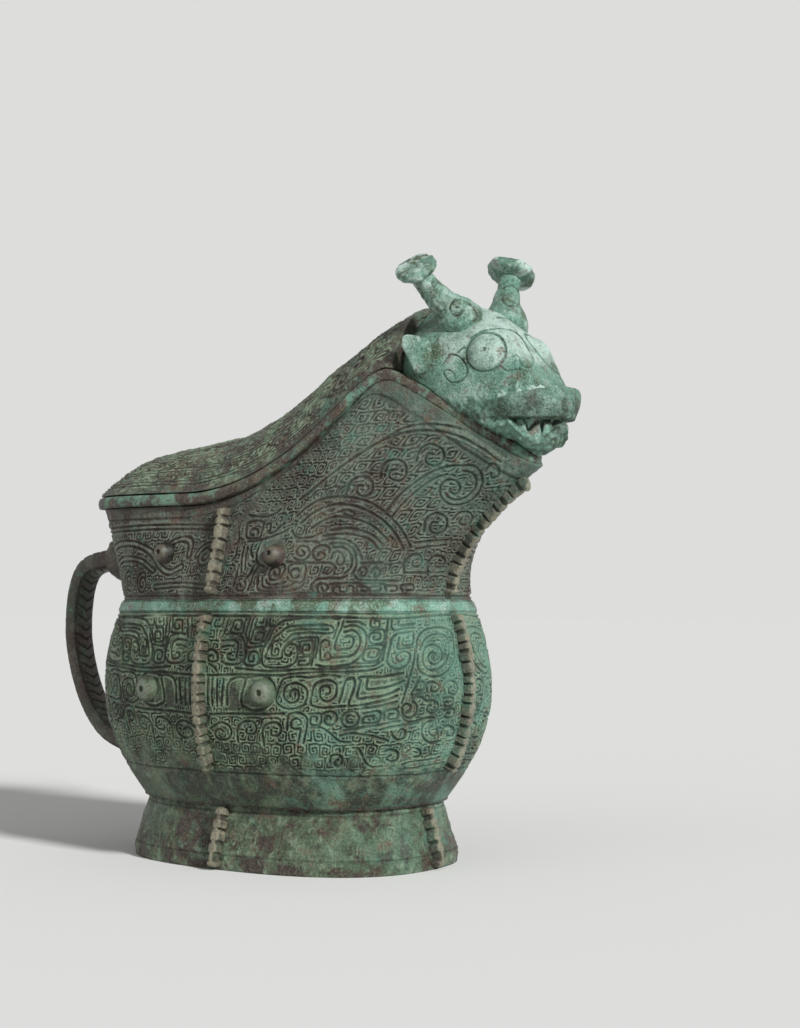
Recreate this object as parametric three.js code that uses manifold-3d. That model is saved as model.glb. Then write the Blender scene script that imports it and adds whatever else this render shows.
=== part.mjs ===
import * as THREE from "three";
import { mergeVertices } from "three/addons/utils/BufferGeometryUtils.js";
import Module from "manifold-3d";

// Bronze guang: a covered wine vessel in the shape of a beast. Lengths are in millimetres, +X is the way
// the beast looks, +Y is its left, +Z is up, and the foot stands on z = 0 with its middle at the origin.

const wasm = await Module();
wasm.setup();

// Driving sizes
const WALL = 3.2;
const SEAT_GAP = 0.3;
const LID_PLAY = 0.9;

// Foot ring
const FOOT_HEIGHT = 24;
const FOOT_HALF_LENGTH = 67.5;
const FOOT_HALF_WIDTH = 47.5;
const FOOT_FLARE = 5.6;
const FOOT_WALL = 3.6;
const FOOT_EDGE = 5;

// Belly: an oval of this exponent, largest at the height of its swell
const BELLY_HALF_LENGTH = 81.5;
const BELLY_HALF_WIDTH = 57;
const OVAL_POWER = 2.5;
const SWELL_RISE = 44;
const SWELL_Z = FOOT_HEIGHT + SWELL_RISE;
const BELLY_TUCK = 0.225;
const BELLY_TUCK_POWER = 1.95;
const BELLY_CLOSE = 0.075;

// Plain band at the shoulder
const BAND_RISE = 29;
const BAND_Z = SWELL_Z + BAND_RISE;
const BAND_HEIGHT = 5;
const BAND_TOP = BAND_Z + BAND_HEIGHT;
const BAND_PROUD = 0.8;
const NECK_CLOSE = 0.1;

// Mouth: a long oval that narrows to the spout, square at the back
const MOUTH_REAR = 72.5;
const SPOUT_REACH = 113.5;
const MOUTH_MIDDLE = (SPOUT_REACH - MOUTH_REAR) / 2;
const MOUTH_HALF_LENGTH = (SPOUT_REACH + MOUTH_REAR) / 2;
const MOUTH_HALF_WIDTH = 38.5;
const MOUTH_TAPER = 18.5;
const MOUTH_REAR_POWER = 4.5;
const SPOUT_FLARE_POWER = 2;

// Beast head: it stands over the spout and ends at a set length behind its snout
const SNOUT_OVERHANG = 12.5;
const SNOUT_X = SPOUT_REACH + SNOUT_OVERHANG;
const HEAD_LENGTH = 60;
const HEAD_BACK_X = SNOUT_X - HEAD_LENGTH;

// Rim line seen from the side: level at the back, a rising curve, then down to the spout
const RIM_REAR_RISE = 36.5;
const RIM_REAR_Z = BAND_TOP + RIM_REAR_RISE;
const RIM_CURVE_START = -18;
const RIM_CURVE_RADIUS = 65.8;
const SPOUT_RISE = 49;
const SPOUT_Z = BAND_TOP + SPOUT_RISE;
const SPOUT_SLOPE = 0.72;
const RIM_CREST_ROUND = 10;

// Cast ribs with a notched edge
const RIB_THICK = 4.6;
const RIB_PROUD = 4;
const RIB_NOTCH = 1.1;
const RIB_BEADS_BELLY = 13;
const RIB_BEADS_NECK = 8;
const RIB_BEADS_FOOT = 5;
const RIB_END_GAP = 1.6;
const NECK_RIB_TOP = 0.86;
const THROAT_RIB_TOP = 0.92;
const BELLY_RIB_LOW = 14;
const SPOUT_KNOB_RADIUS = 2.6;

// Round bosses that stand for eyes in the cast masks
const BELLY_BOSS_RADIUS = 4.6;
const BELLY_BOSS_HEIGHT = 3.4;
const BELLY_BOSS_X = 28.5;
const NECK_BOSS_RADIUS = 3.6;
const NECK_BOSS_HEIGHT = 5;
const NECK_BOSS_X = 26.5;
const NECK_BOSS_LEVEL = { front: 0.22, rear: 0.5 };
const BOSS_PIT = 0.9;

// Lid
const LID_RIM_HEIGHT = 4.5;
const LID_OVERHANG = 2.2;
const BORDER_TUCK = 0.5;
const BORDER_FADE = 16;
const BORDER_FADE_FROM = HEAD_BACK_X - BORDER_FADE;
const LID_WALL = 3;
const LID_TONGUE = 5;
const LID_TONGUE_WALL = 2.2;
const LID_TONGUE_LEVEL = 0.84;
const LID_SEAT = 0.6;
const LID_GAP = 0.4;
const LID_VAULT_STEP = 0.9;
const LID_RIDGE_REAR_RISE = 23;
const LID_RIDGE_REAR_Z = RIM_REAR_Z + LID_RIDGE_REAR_RISE;
const LID_RIDGE_REAR_SLOPE = 0.14;
const LID_RIDGE_NECK_RISE = 39.5;
const LID_RIDGE_NECK_Z = RIM_REAR_Z + LID_RIDGE_NECK_RISE;
const LID_RIDGE_NECK_SLOPE = 0.54;
const LID_RIDGE_ROUND = 5;
const LID_ARCH_POWER = 0.92;
const LID_END_ROUND = 10;
const LID_END_KEEP = 0.4;

// Form of the head
const HEAD_RISE = 65;
const HEAD_TOP_Z = SPOUT_Z + HEAD_RISE;
const HEAD_DROP = 42;
const HEAD_HALF_WIDTH = 19.5;
const HEAD_WALL = 4;
const HEAD_CORNER = 0.32;
const JAW_DROP = 4.2;
const JAW_EDGE = 4;
const MOUTH_SLIT_RISE = 9.6;
const MOUTH_SLIT_Z = SPOUT_Z + MOUTH_SLIT_RISE;
const MOUTH_SLIT_HEIGHT = 7.2;
const MOUTH_SLIT_LENGTH = 16.5;
const MOUTH_SLIT_CORNER_X = SNOUT_X - MOUTH_SLIT_LENGTH;
const JAW_PLAY = 0.7;
const JAW_ROOM_DEPTH = 20;
const LIP_PROUD = 2.2;
const LIP_HEIGHT = 9.6;
const LIP_LENGTH = 27;
const LIP_BACK_X = SNOUT_X - LIP_LENGTH;
const TOOTH_HEIGHT = 4.4;
const TOOTH_ROOT = 1.3;
const TOOTH_THICK = 2.4;
const TOOTH_COUNT = 7;
const EYE_BACK = 24.2;
const EYE_X = SNOUT_X - EYE_BACK;
const EYE_DROP = 24.1;
const EYE_Z = HEAD_TOP_Z - EYE_DROP;
const EYE_RADIUS = 7.2;
const EYE_HEIGHT = 4.4;
const EYE_SINK = 2;
const HORN_BULB_RADIUS = 8.8;
const HORN_STEM_RADIUS = 4.4;
const RIGHT_CAP_RADIUS = 7.6;
const LEFT_CAP_RADIUS = 9.4;
const HORN_CAP_THICK = 4.2;
const RIGHT_HORN_ROOT = new THREE.Vector3(HEAD_BACK_X + 20, -13.5, HEAD_TOP_Z - 10);
const RIGHT_HORN_TIP = new THREE.Vector3(HEAD_BACK_X + 12.5, -26.8, HEAD_TOP_Z + 8.5);
const LEFT_HORN_ROOT = new THREE.Vector3(HEAD_BACK_X + 24.5, 11, HEAD_TOP_Z - 8.5);
const LEFT_HORN_TIP = new THREE.Vector3(HEAD_BACK_X + 20.6, 27, HEAD_TOP_Z + 15);
const EAR_LENGTH = 15;
const EAR_THICK = 4;
const EAR_OUT = 4.5;
const EAR_IN = 3.75;
const EAR_Y = HEAD_HALF_WIDTH * 1.5 - EAR_IN;
const EAR_DROP = 20;
const EAR_Z = HEAD_TOP_Z - EAR_DROP;

// Loop handle at the back; it reaches as far behind the middle as the snout does in front
const HANDLE_REACH = SNOUT_X;
const HANDLE_WIDTH = 12;
const HANDLE_THICK = 9;
const HANDLE_TOP_Z = 120;
const HANDLE_FOOT_Z = 41;
const STRAP_BOW = 6;
const STRAP_OUT_Z = 90;
const HANDLE_HEAD_HALF_WIDTH = 10.5;
const HANDLE_HEAD_HALF_HEIGHT = 11;
const HANDLE_HEAD_REACH = 30;
const HANDLE_EAR_HEIGHT = 9;
const HANDLE_EAR_RADIUS = 3.6;

const ROUND_STEPS = 64;

const bronze = (color, roughness) => new THREE.MeshStandardMaterial({ color, roughness, metalness: 0.55 });
const GREEN = 0x4c6b57;
const PALE_GREEN = 0x7fa692;
const DARK_BRONZE = 0x39403a;

// Signed size of a closed surface; a surface that is inside out is turned over
function turnedOut(geometry) {
  const position = geometry.getAttribute("position");
  const index = geometry.getIndex();
  const a = new THREE.Vector3();
  const b = new THREE.Vector3();
  const c = new THREE.Vector3();
  let volume = 0;
  for (let i = 0; i < index.count; i += 3) {
    a.fromBufferAttribute(position, index.getX(i));
    b.fromBufferAttribute(position, index.getX(i + 1));
    c.fromBufferAttribute(position, index.getX(i + 2));
    volume += a.dot(b.cross(c));
  }
  if (volume < 0) {
    for (let i = 0; i < index.count; i += 3) {
      const keep = index.getX(i);
      index.setX(i, index.getX(i + 2));
      index.setX(i + 2, keep);
    }
  }
  return geometry;
}

function surface(points, triangles) {
  const geometry = new THREE.BufferGeometry();
  geometry.setAttribute("position", new THREE.Float32BufferAttribute(points.flat(), 3));
  geometry.setIndex(triangles.flat());
  return turnedOut(mergeVertices(geometry, 1e-4));
}

// Joins rings of points in order; a ring sweep closes on itself, any other is closed with a fan at each end
// unless its end rings are already drawn together
function loft(rings, joined = false, drawnIn = false) {
  const count = rings[0].length;
  const points = rings.flat();
  const triangles = [];
  const strips = joined ? rings.length : rings.length - 1;
  for (let i = 0; i < strips; i += 1) {
    const next = (i + 1) % rings.length;
    for (let j = 0; j < count; j += 1) {
      const k = (j + 1) % count;
      const a = i * count + j;
      const b = i * count + k;
      const c = next * count + k;
      const d = next * count + j;
      triangles.push([a, b, c], [a, c, d]);
    }
  }
  if (!joined && !drawnIn) {
    for (const end of [0, rings.length - 1]) {
      const ring = rings[end];
      const middle = [0, 1, 2].map((axis) => ring.reduce((sum, point) => sum + point[axis], 0) / count);
      const hub = points.push(middle) - 1;
      for (let j = 0; j < count; j += 1) {
        const a = end * count + j;
        const b = end * count + ((j + 1) % count);
        triangles.push(end === 0 ? [hub, b, a] : [hub, a, b]);
      }
    }
  }
  return surface(points, triangles);
}

function solid(geometry) {
  const bare = geometry.clone();
  bare.deleteAttribute("normal");
  bare.deleteAttribute("uv");
  const merged = mergeVertices(bare, 1e-4);
  return new wasm.Manifold(new wasm.Mesh({
    numProp: 3,
    vertProperties: new Float32Array(merged.getAttribute("position").array),
    triVerts: new Uint32Array(merged.getIndex().array),
  }));
}

function fromSolid(body) {
  const mesh = body.getMesh();
  const geometry = new THREE.BufferGeometry();
  geometry.setAttribute("position", new THREE.BufferAttribute(new Float32Array(mesh.vertProperties), 3));
  geometry.setIndex(new THREE.BufferAttribute(new Uint32Array(mesh.triVerts), 1));
  return geometry;
}

const group = new THREE.Group();
group.name = "bronze_guang_vessel";

function addPiece(name, geometry, color, roughness = 0.62) {
  const piece = new THREE.Mesh(geometry, bronze(color, roughness));
  piece.name = name;
  group.add(piece);
}

// Point at an angle on an oval of half size 1 with the given exponent
function unitOval(angle, power) {
  const c = Math.cos(angle);
  const s = Math.sin(angle);
  const reach = (Math.abs(c) ** power + Math.abs(s) ** power) ** (-1 / power);
  return [c * reach, s * reach];
}

const mouthPower = (angle) => {
  const back = 0.5 - 0.5 * Math.cos(angle);
  return OVAL_POWER + (MOUTH_REAR_POWER - OVAL_POWER) * back;
};

// Plan of the mouth's outer edge, moved out by an offset
function mouthPlan(angle, offset) {
  const [mx, my] = unitOval(angle, mouthPower(angle));
  const x = MOUTH_MIDDLE + (MOUTH_HALF_LENGTH + offset) * mx;
  const y = (MOUTH_HALF_WIDTH - MOUTH_TAPER * mx + offset) * my;
  return [x, y];
}

const softMin = (a, b, round) => (a + b - Math.hypot(a - b, round)) / 2;
const softMax = (a, b, round) => (a + b + Math.hypot(a - b, round)) / 2;

// Height of the vessel's rim over its length
function rimZ(x) {
  const rise = RIM_REAR_Z + Math.max(0, x - RIM_CURVE_START) ** 2 / (2 * RIM_CURVE_RADIUS);
  const fall = SPOUT_Z + SPOUT_SLOPE * (SPOUT_REACH - x);
  return softMin(rise, fall, RIM_CREST_ROUND);
}

// Share of the belly's full size that its oval has at a height
function bellyScale(z) {
  if (z < SWELL_Z) return 1 - BELLY_TUCK * ((SWELL_Z - z) / SWELL_RISE) ** BELLY_TUCK_POWER;
  return 1 - BELLY_CLOSE * ((z - SWELL_Z) / BAND_RISE) ** 2;
}

const angles = Array.from({ length: ROUND_STEPS }, (_, i) => (2 * Math.PI * i) / ROUND_STEPS);

function bellyPoint(angle, z, scale, offset) {
  const [ux, uy] = unitOval(angle, OVAL_POWER);
  return [(BELLY_HALF_LENGTH * scale + offset) * ux, (BELLY_HALF_WIDTH * scale + offset) * uy, z];
}

// Neck wall: from the shoulder oval at level 0 to the rim at level 1
function neckPoint(angle, level, offset) {
  const [x0, y0] = bellyPoint(angle, 0, 1 - NECK_CLOSE, offset);
  const [x1, y1] = mouthPlan(angle, offset);
  const x = x0 + (x1 - x0) * level ** SPOUT_FLARE_POWER;
  const y = y0 + (y1 - y0) * level;
  return [x, y, BAND_TOP + (rimZ(x1) - BAND_TOP) * level];
}

const bellyRing = (z, offset, scale = bellyScale(z)) => angles.map((t) => bellyPoint(t, z, scale, offset));
const neckRing = (level, offset) => angles.map((t) => neckPoint(t, level, offset));
const spread = (from, to, count) => {
  const step = (to - from) / (count - 1);
  return Array.from({ length: count }, (_, i) => from + step * i);
};

// Outer skin of belly, band and neck, from the foot to the rim
function outerSkin(offset) {
  return [
    ...spread(FOOT_HEIGHT, BAND_Z, 10).map((z) => bellyRing(z, offset)),
    bellyRing(BAND_Z, offset + BAND_PROUD, bellyScale(BAND_Z)),
    bellyRing(BAND_TOP, offset + BAND_PROUD, 1 - NECK_CLOSE),
    ...spread(0, 1, 9).map((level) => neckRing(level, offset)),
  ];
}

const innerSkin = [
  ...spread(1, 0, 8).map((level) => neckRing(level, -WALL)),
  bellyRing(BAND_Z, -WALL),
  ...spread(SWELL_Z + BAND_RISE / 2, FOOT_HEIGHT + WALL, 7).map((z) => bellyRing(z, -WALL)),
];

addPiece("vessel_body", loft([...outerSkin(0), ...innerSkin]), GREEN);

// Full outside of the vessel, a little larger, for seating what is cast onto it
const seat = solid(loft(outerSkin(SEAT_GAP)));

// Foot ring, flaring to its plain bottom edge
const footPoint = (angle, z, offset) => {
  const [ux, uy] = unitOval(angle, OVAL_POWER);
  const out = offset - FOOT_FLARE * Math.min(1, Math.max(0, (z - FOOT_EDGE) / (FOOT_HEIGHT - FOOT_EDGE)));
  return [(FOOT_HALF_LENGTH + out) * ux, (FOOT_HALF_WIDTH + out) * uy, z];
};
const footRing = (z, offset) => angles.map((t) => footPoint(t, z, offset));
addPiece("foot_ring", loft([
  footRing(0, 0),
  footRing(FOOT_EDGE, 0),
  footRing(FOOT_HEIGHT, 0),
  footRing(FOOT_HEIGHT, -FOOT_WALL),
  footRing(FOOT_EDGE, -FOOT_WALL),
  footRing(0, -FOOT_WALL),
], true), GREEN);
const footSeat = solid(loft([
  footRing(0, SEAT_GAP), footRing(FOOT_EDGE, SEAT_GAP), footRing(FOOT_HEIGHT, SEAT_GAP),
]));

// Ribs: the side view of one is a strip that follows the wall, with a row of notches along its edge
function ribOutline(path, beads, sink) {
  const inner = path.map(([r, z]) => new THREE.Vector2(r - sink, z));
  const curve = new THREE.CatmullRomCurve3(path.map(([r, z]) => new THREE.Vector3(r, z, 0)));
  const outer = [];
  const steps = [[0.06, 1], [0.42, 1], [0.58, 0], [0.9, 0]];
  for (let bead = 0; bead < beads; bead += 1) {
    for (const [along, high] of steps) {
      const t = Math.min(1, (bead + along) / (beads - 0.5));
      if (bead === beads - 1 && !high) continue;
      const point = curve.getPointAt(t);
      const tangent = curve.getTangentAt(t);
      const proud = high ? RIB_PROUD : RIB_PROUD - RIB_NOTCH;
      outer.push(new THREE.Vector2(point.x + tangent.y * proud, point.y - tangent.x * proud));
    }
  }
  return new THREE.Shape([...inner, ...outer.reverse()]);
}

function rib(path, beads, turn, cutter) {
  const shape = ribOutline(path, beads, 1.5);
  const strip = new THREE.ExtrudeGeometry(shape, { depth: RIB_THICK, bevelEnabled: false });
  strip.translate(0, 0, -RIB_THICK / 2);
  strip.rotateX(Math.PI / 2);
  strip.rotateZ(turn);
  return solid(strip).subtract(cutter);
}

// Outward direction of a wall given as a function of angle and height step
function wallFrame(wall, angle, at) {
  const step = 0.01;
  const here = new THREE.Vector3(...wall(angle, at));
  const along = new THREE.Vector3(...wall(angle + step, at)).sub(here);
  const up = new THREE.Vector3(...wall(angle, at + step)).sub(here);
  return [here, along.cross(up).normalize()];
}

function angleWhere(wall, x, at, side) {
  let low = 0.02;
  let high = Math.PI - 0.02;
  for (let i = 0; i < 40; i += 1) {
    const mid = (low + high) / 2;
    if (wall(mid, at)[0] > x) low = mid;
    else high = mid;
  }
  return side * low;
}

const bellyWall = (angle, level) => {
  const z = FOOT_HEIGHT + (BAND_Z - FOOT_HEIGHT) * level;
  return bellyPoint(angle, z, bellyScale(z), 0);
};
const neckWall = (angle, level) => neckPoint(angle, level, 0);

const FRONT = 0;
const LEFT = Math.PI / 2;
const REAR = Math.PI;
const RIGHT = -Math.PI / 2;
const outwards = (angle, point) => point[0] * Math.cos(angle) + point[1] * Math.sin(angle);

for (const [side, turn] of [["front", FRONT], ["left", LEFT], ["right", RIGHT]]) {
  const bellyPath = spread(FOOT_HEIGHT + BELLY_RIB_LOW, BAND_Z - RIB_END_GAP, 12).map((z) => {
    return [outwards(turn, bellyPoint(turn, z, bellyScale(z), 0)), z];
  });
  addPiece(`belly_rib_${side}`, fromSolid(rib(bellyPath, RIB_BEADS_BELLY, turn, seat)), DARK_BRONZE);
}

for (const [side, turn] of [["left", LEFT], ["right", RIGHT]]) {
  const neckPath = spread(0.05, NECK_RIB_TOP, 10).map((level) => {
    const point = neckPoint(angleWhere(neckWall, 0, level, Math.sign(turn)), level, 0);
    return [outwards(turn, point), point[2]];
  });
  addPiece(`neck_rib_${side}`, fromSolid(rib(neckPath, RIB_BEADS_NECK, turn, seat)), DARK_BRONZE);
}

// The front rib follows the throat of the spout and ends in a small knob
const throat = spread(0.05, THROAT_RIB_TOP, 12).map((level) => {
  const point = neckPoint(FRONT, level, 0);
  return [point[0], point[2]];
});
const throatEnd = throat[throat.length - 1];
const knob = new THREE.SphereGeometry(SPOUT_KNOB_RADIUS, 10, 8);
knob.translate(throatEnd[0] + RIB_PROUD / 2, 0, throatEnd[1] - RIB_PROUD / 2);
const throatRib = rib(throat, RIB_BEADS_NECK + 2, FRONT, seat).add(solid(knob).subtract(seat));
addPiece("neck_rib_front", fromSolid(throatRib), DARK_BRONZE);

for (const [side, turn] of [["front", FRONT], ["left", LEFT], ["rear", REAR], ["right", RIGHT]]) {
  const footPath = spread(RIB_END_GAP, FOOT_HEIGHT - RIB_END_GAP, 6).map((z) => {
    return [outwards(turn, footPoint(turn, z, 0)), z];
  });
  const cutter = footSeat.add(seat);
  addPiece(`foot_rib_${side}`, fromSolid(rib(footPath, RIB_BEADS_FOOT, turn, cutter)), DARK_BRONZE);
}

// Bosses: domes with a small pit, seated square on the wall
function boss(radius, height, centre, normal, cutter) {
  const profile = [
    new THREE.Vector2(0, -2),
    new THREE.Vector2(radius, -2),
    new THREE.Vector2(radius, height * 0.2),
    new THREE.Vector2(radius * 0.86, height * 0.62),
    new THREE.Vector2(radius * 0.56, height * 0.92),
    new THREE.Vector2(radius * 0.3, height),
    new THREE.Vector2(radius * 0.2, height - BOSS_PIT),
    new THREE.Vector2(0, height - BOSS_PIT),
  ];
  const dome = new THREE.LatheGeometry(profile, 14);
  dome.applyQuaternion(new THREE.Quaternion().setFromUnitVectors(new THREE.Vector3(0, 1, 0), normal));
  dome.translate(centre.x, centre.y, centre.z);
  return solid(turnedOut(mergeVertices(bared(dome), 1e-4))).subtract(cutter);
}

function bared(geometry) {
  geometry.deleteAttribute("normal");
  geometry.deleteAttribute("uv");
  return geometry;
}

const swellLevel = SWELL_RISE / (SWELL_RISE + BAND_RISE);
for (const [side, sign] of [["left", 1], ["right", -1]]) {
  for (const [end, way] of [["front", 1], ["rear", -1]]) {
    const low = wallFrame(bellyWall, angleWhere(bellyWall, way * BELLY_BOSS_X, swellLevel, sign), swellLevel);
    const belly = boss(BELLY_BOSS_RADIUS, BELLY_BOSS_HEIGHT, ...low, seat);
    addPiece(`belly_boss_${side}_${end}`, fromSolid(belly), PALE_GREEN);
    const turn = angleWhere(neckWall, way * NECK_BOSS_X, NECK_BOSS_LEVEL[end], sign);
    const high = wallFrame(neckWall, turn, NECK_BOSS_LEVEL[end]);
    const neck = boss(NECK_BOSS_RADIUS, NECK_BOSS_HEIGHT, ...high, seat);
    addPiece(`neck_boss_${side}_${end}`, fromSolid(neck), DARK_BRONZE);
  }
}

// Lid rim: a plain border over the vessel's rim with a tongue that drops into the mouth
function tonguePlan(angle, offset) {
  const inset = offset - WALL - LID_PLAY;
  const [xMouth, yMouth] = mouthPlan(angle, inset);
  const [xNeck, yNeck] = neckPoint(angle, LID_TONGUE_LEVEL, inset);
  const x = Math.cos(angle) > 0 ? Math.min(xMouth, xNeck) : Math.max(xMouth, xNeck);
  return [x, Math.sign(yMouth) * Math.min(Math.abs(yMouth), Math.abs(yNeck))];
}
// The border stands out over the body of the vessel and draws in under the head
function overhang(x) {
  const t = Math.min(1, Math.max(0, (x - BORDER_FADE_FROM) / (HEAD_BACK_X - BORDER_FADE_FROM)));
  return LID_OVERHANG - (LID_OVERHANG + BORDER_TUCK) * t * t * (3 - 2 * t);
}
const lidEdge = (height) => angles.map((t) => {
  const [x, y] = mouthPlan(t, overhang(mouthPlan(t, 0)[0]));
  return [x, y, rimZ(x) + height];
});
const lidBorder = (height, offset) => angles.map((t) => {
  const [x, y] = mouthPlan(t, offset);
  return [x, y, rimZ(x) + height];
});
const lidTongue = (height, offset) => angles.map((t) => {
  const [x, y] = tonguePlan(t, offset);
  return [x, y, rimZ(x) + height];
});
addPiece("lid_rim", loft([
  lidTongue(LID_GAP, 0),
  lidTongue(-LID_TONGUE, 0),
  lidTongue(-LID_TONGUE, -LID_TONGUE_WALL),
  lidTongue(LID_GAP + LID_RIM_HEIGHT, -LID_TONGUE_WALL),
  lidEdge(LID_GAP + LID_RIM_HEIGHT),
  lidEdge(LID_GAP),
  lidBorder(LID_GAP, -BORDER_TUCK - 0.2),
  lidBorder(LID_GAP, -WALL),
], true), PALE_GREEN);

// Lid vault: an arch over the rim whose ridge climbs to the beast's neck
const VAULT_BASE = LID_GAP + LID_RIM_HEIGHT + LID_SEAT;
const ridgeZ = (x) => softMax(
  LID_RIDGE_REAR_Z + LID_RIDGE_REAR_SLOPE * (x + MOUTH_REAR),
  LID_RIDGE_NECK_Z + LID_RIDGE_NECK_SLOPE * x,
  LID_RIDGE_ROUND,
);
function vaultAngle(x, offset) {
  let low = 0.02;
  let high = Math.PI - 0.02;
  for (let i = 0; i < 40; i += 1) {
    const mid = (low + high) / 2;
    if (mouthPlan(mid, offset)[0] > x) low = mid;
    else high = mid;
  }
  return low;
}
function vaultGrid(inset, sink, stations, across) {
  const front = vaultAngle(HEAD_BACK_X, -inset);
  return spread(front, Math.PI, stations).map((angle) => {
    const [x, y] = mouthPlan(angle, overhang(mouthPlan(angle, 0)[0]) - LID_VAULT_STEP - inset);
    const into = Math.min(1, Math.max(0, (x + MOUTH_REAR + LID_OVERHANG) / LID_END_ROUND));
    const close = LID_END_KEEP + (1 - LID_END_KEEP) * (1 - (1 - into) ** 3);
    const base = rimZ(x) + VAULT_BASE;
    const rise = (ridgeZ(x) - base) * close - sink;
    return spread(-1, 1, across).map((q) => {
      return [x, Math.abs(y) * q, base + rise * Math.max(0, 1 - q * q) ** LID_ARCH_POWER];
    });
  });
}
function shell(outer, inner) {
  const rows = outer.length;
  const across = outer[0].length;
  const points = [...outer.flat(), ...inner.flat()];
  const under = rows * across;
  const triangles = [];
  const quad = (a, b, c, d) => triangles.push([a, b, c], [a, c, d]);
  for (let i = 0; i < rows - 1; i += 1) {
    for (let j = 0; j < across - 1; j += 1) {
      const a = i * across + j;
      quad(a, a + across, a + across + 1, a + 1);
      quad(under + a, under + a + 1, under + a + across + 1, under + a + across);
    }
    for (const [j, flip] of [[0, false], [across - 1, true]]) {
      const a = i * across + j;
      if (flip) quad(a, a + across, under + a + across, under + a);
      else quad(a, under + a, under + a + across, a + across);
    }
  }
  for (let j = 0; j < across - 1; j += 1) quad(j, j + 1, under + j + 1, under + j);
  return surface(points, triangles);
}
const vaultOuter = vaultGrid(0, 0, 26, 17);
const vaultInner = vaultGrid(LID_WALL, LID_WALL, 26, 17);
for (const row of [vaultOuter[0], vaultInner[0]]) {
  for (const point of row) point[0] = HEAD_BACK_X;
}
addPiece("lid_vault", shell(vaultOuter, vaultInner), GREEN);

// Beast head: eight cornered sections with rounded corners, wide at the back, blunt at the snout
// Shares of: length, drop of the crown, brow width, brow drop, cheek width, cheek drop, jaw width, jaw edge
const HEAD_SECTIONS = [
  [0, 0.048, 1.34, 0.44, 1.42, 0.762, 1.4, 0.75],
  [0.1, 0.024, 1.32, 0.417, 1.37, 0.738, 1.36, 0.75],
  [0.2, 0, 1.26, 0.417, 1.29, 0.738, 1.28, 0.75],
  [0.3, 0.012, 1.18, 0.417, 1.22, 0.738, 1.21, 0.75],
  [0.4, 0.052, 1.077, 0.405, 1.16, 0.738, 1.14, 0.75],
  [0.5, 0.119, 0.985, 0.348, 1.1, 0.738, 1.08, 0.875],
  [0.6, 0.243, 0.913, 0.343, 1.04, 0.762, 1, 1],
  [0.683, 0.376, 0.841, 0.419, 0.974, 0.824, 0.9, 1.25],
  [0.75, 0.505, 0.779, 0.524, 0.903, 0.881, 0.8, 1.35],
  [0.8, 0.619, 0.728, 0.633, 0.841, 0.919, 0.718, 1.35],
  [0.85, 0.738, 0.667, 0.752, 0.759, 0.952, 0.626, 1.3],
  [0.9, 0.843, 0.595, 0.857, 0.656, 0.976, 0.533, 1.25],
  [0.942, 0.896, 0.489, 0.915, 0.538, 1.002, 0.421, 1.15],
  [0.975, 0.938, 0.315, 0.96, 0.351, 1.031, 0.264, 1],
  [1, 0.993, 0.114, 1.009, 0.129, 1.054, 0.1, 0.75],
];
const CHIN_X = SPOUT_REACH;
const CHIN_ROUND = 8.06;
const underHead = (x) => {
  const seatZ = rimZ(Math.min(x, CHIN_X)) + VAULT_BASE;
  return seatZ - JAW_DROP + Math.max(0, x - CHIN_X) ** 2 / (2 * CHIN_ROUND);
};
// A ring through corners: each corner is cut back along both edges and bowed between the cuts
function roundedRing(corners, x) {
  return corners.flatMap(([y, z], i) => {
    const [yBack, zBack] = corners[(i + corners.length - 1) % corners.length];
    const [yNext, zNext] = corners[(i + 1) % corners.length];
    const before = [y + (yBack - y) * HEAD_CORNER, z + (zBack - z) * HEAD_CORNER];
    const after = [y + (yNext - y) * HEAD_CORNER, z + (zNext - z) * HEAD_CORNER];
    const bow = [(before[0] + 2 * y + after[0]) / 4, (before[1] + 2 * z + after[1]) / 4];
    return [before, bow, after].map(([py, pz]) => [x, py, pz]);
  });
}
function headLoft(grow, drop, backward, reach) {
  return loft(HEAD_SECTIONS.map(([along, crown, brow, browDrop, cheek, cheekDrop, jaw, edge]) => {
    const x = HEAD_BACK_X + SEAT_GAP - backward + along * (HEAD_LENGTH - SEAT_GAP + backward + reach);
    const seated = Math.min(SNOUT_X, Math.max(HEAD_BACK_X, x));
    const low = underHead(seated) - drop;
    const high = HEAD_TOP_Z + grow;
    const wide = (share) => Math.max(1.8, HEAD_HALF_WIDTH * share + grow);
    const side = [
      [wide(jaw), low + edge * JAW_EDGE],
      [wide(cheek), high - cheekDrop * HEAD_DROP],
      [wide(brow), high - browDrop * HEAD_DROP],
    ];
    const mirrored = side.map(([y, z]) => [-y, z]).reverse();
    return roundedRing([...side, [0, high - crown * HEAD_DROP], ...mirrored, [0, low]], x);
  }));
}
function block(x0, x1, y0, y1, z0, z1) {
  const box = new THREE.BoxGeometry(x1 - x0, y1 - y0, z1 - z0);
  box.translate((x0 + x1) / 2, (y0 + y1) / 2, (z0 + z1) / 2);
  return solid(box);
}
const slitTop = MOUTH_SLIT_Z + MOUTH_SLIT_HEIGHT;
const skull = solid(headLoft(0, 0, 0, 0));
const lip = solid(headLoft(LIP_PROUD, 0, 0, LIP_PROUD))
  .intersect(block(
    LIP_BACK_X,
    SNOUT_X,
    -HEAD_HALF_WIDTH * 3,
    HEAD_HALF_WIDTH * 3,
    slitTop,
    slitTop + LIP_HEIGHT,
  ));
const slit = block(
  MOUTH_SLIT_CORNER_X,
  SNOUT_X + MOUTH_SLIT_LENGTH,
  -HEAD_HALF_WIDTH * 3,
  HEAD_HALF_WIDTH * 3,
  MOUTH_SLIT_Z,
  slitTop,
);
const hornSides = [
  ["left", LEFT_HORN_ROOT, LEFT_HORN_TIP, LEFT_CAP_RADIUS],
  ["right", RIGHT_HORN_ROOT, RIGHT_HORN_TIP, RIGHT_CAP_RADIUS],
];
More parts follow.
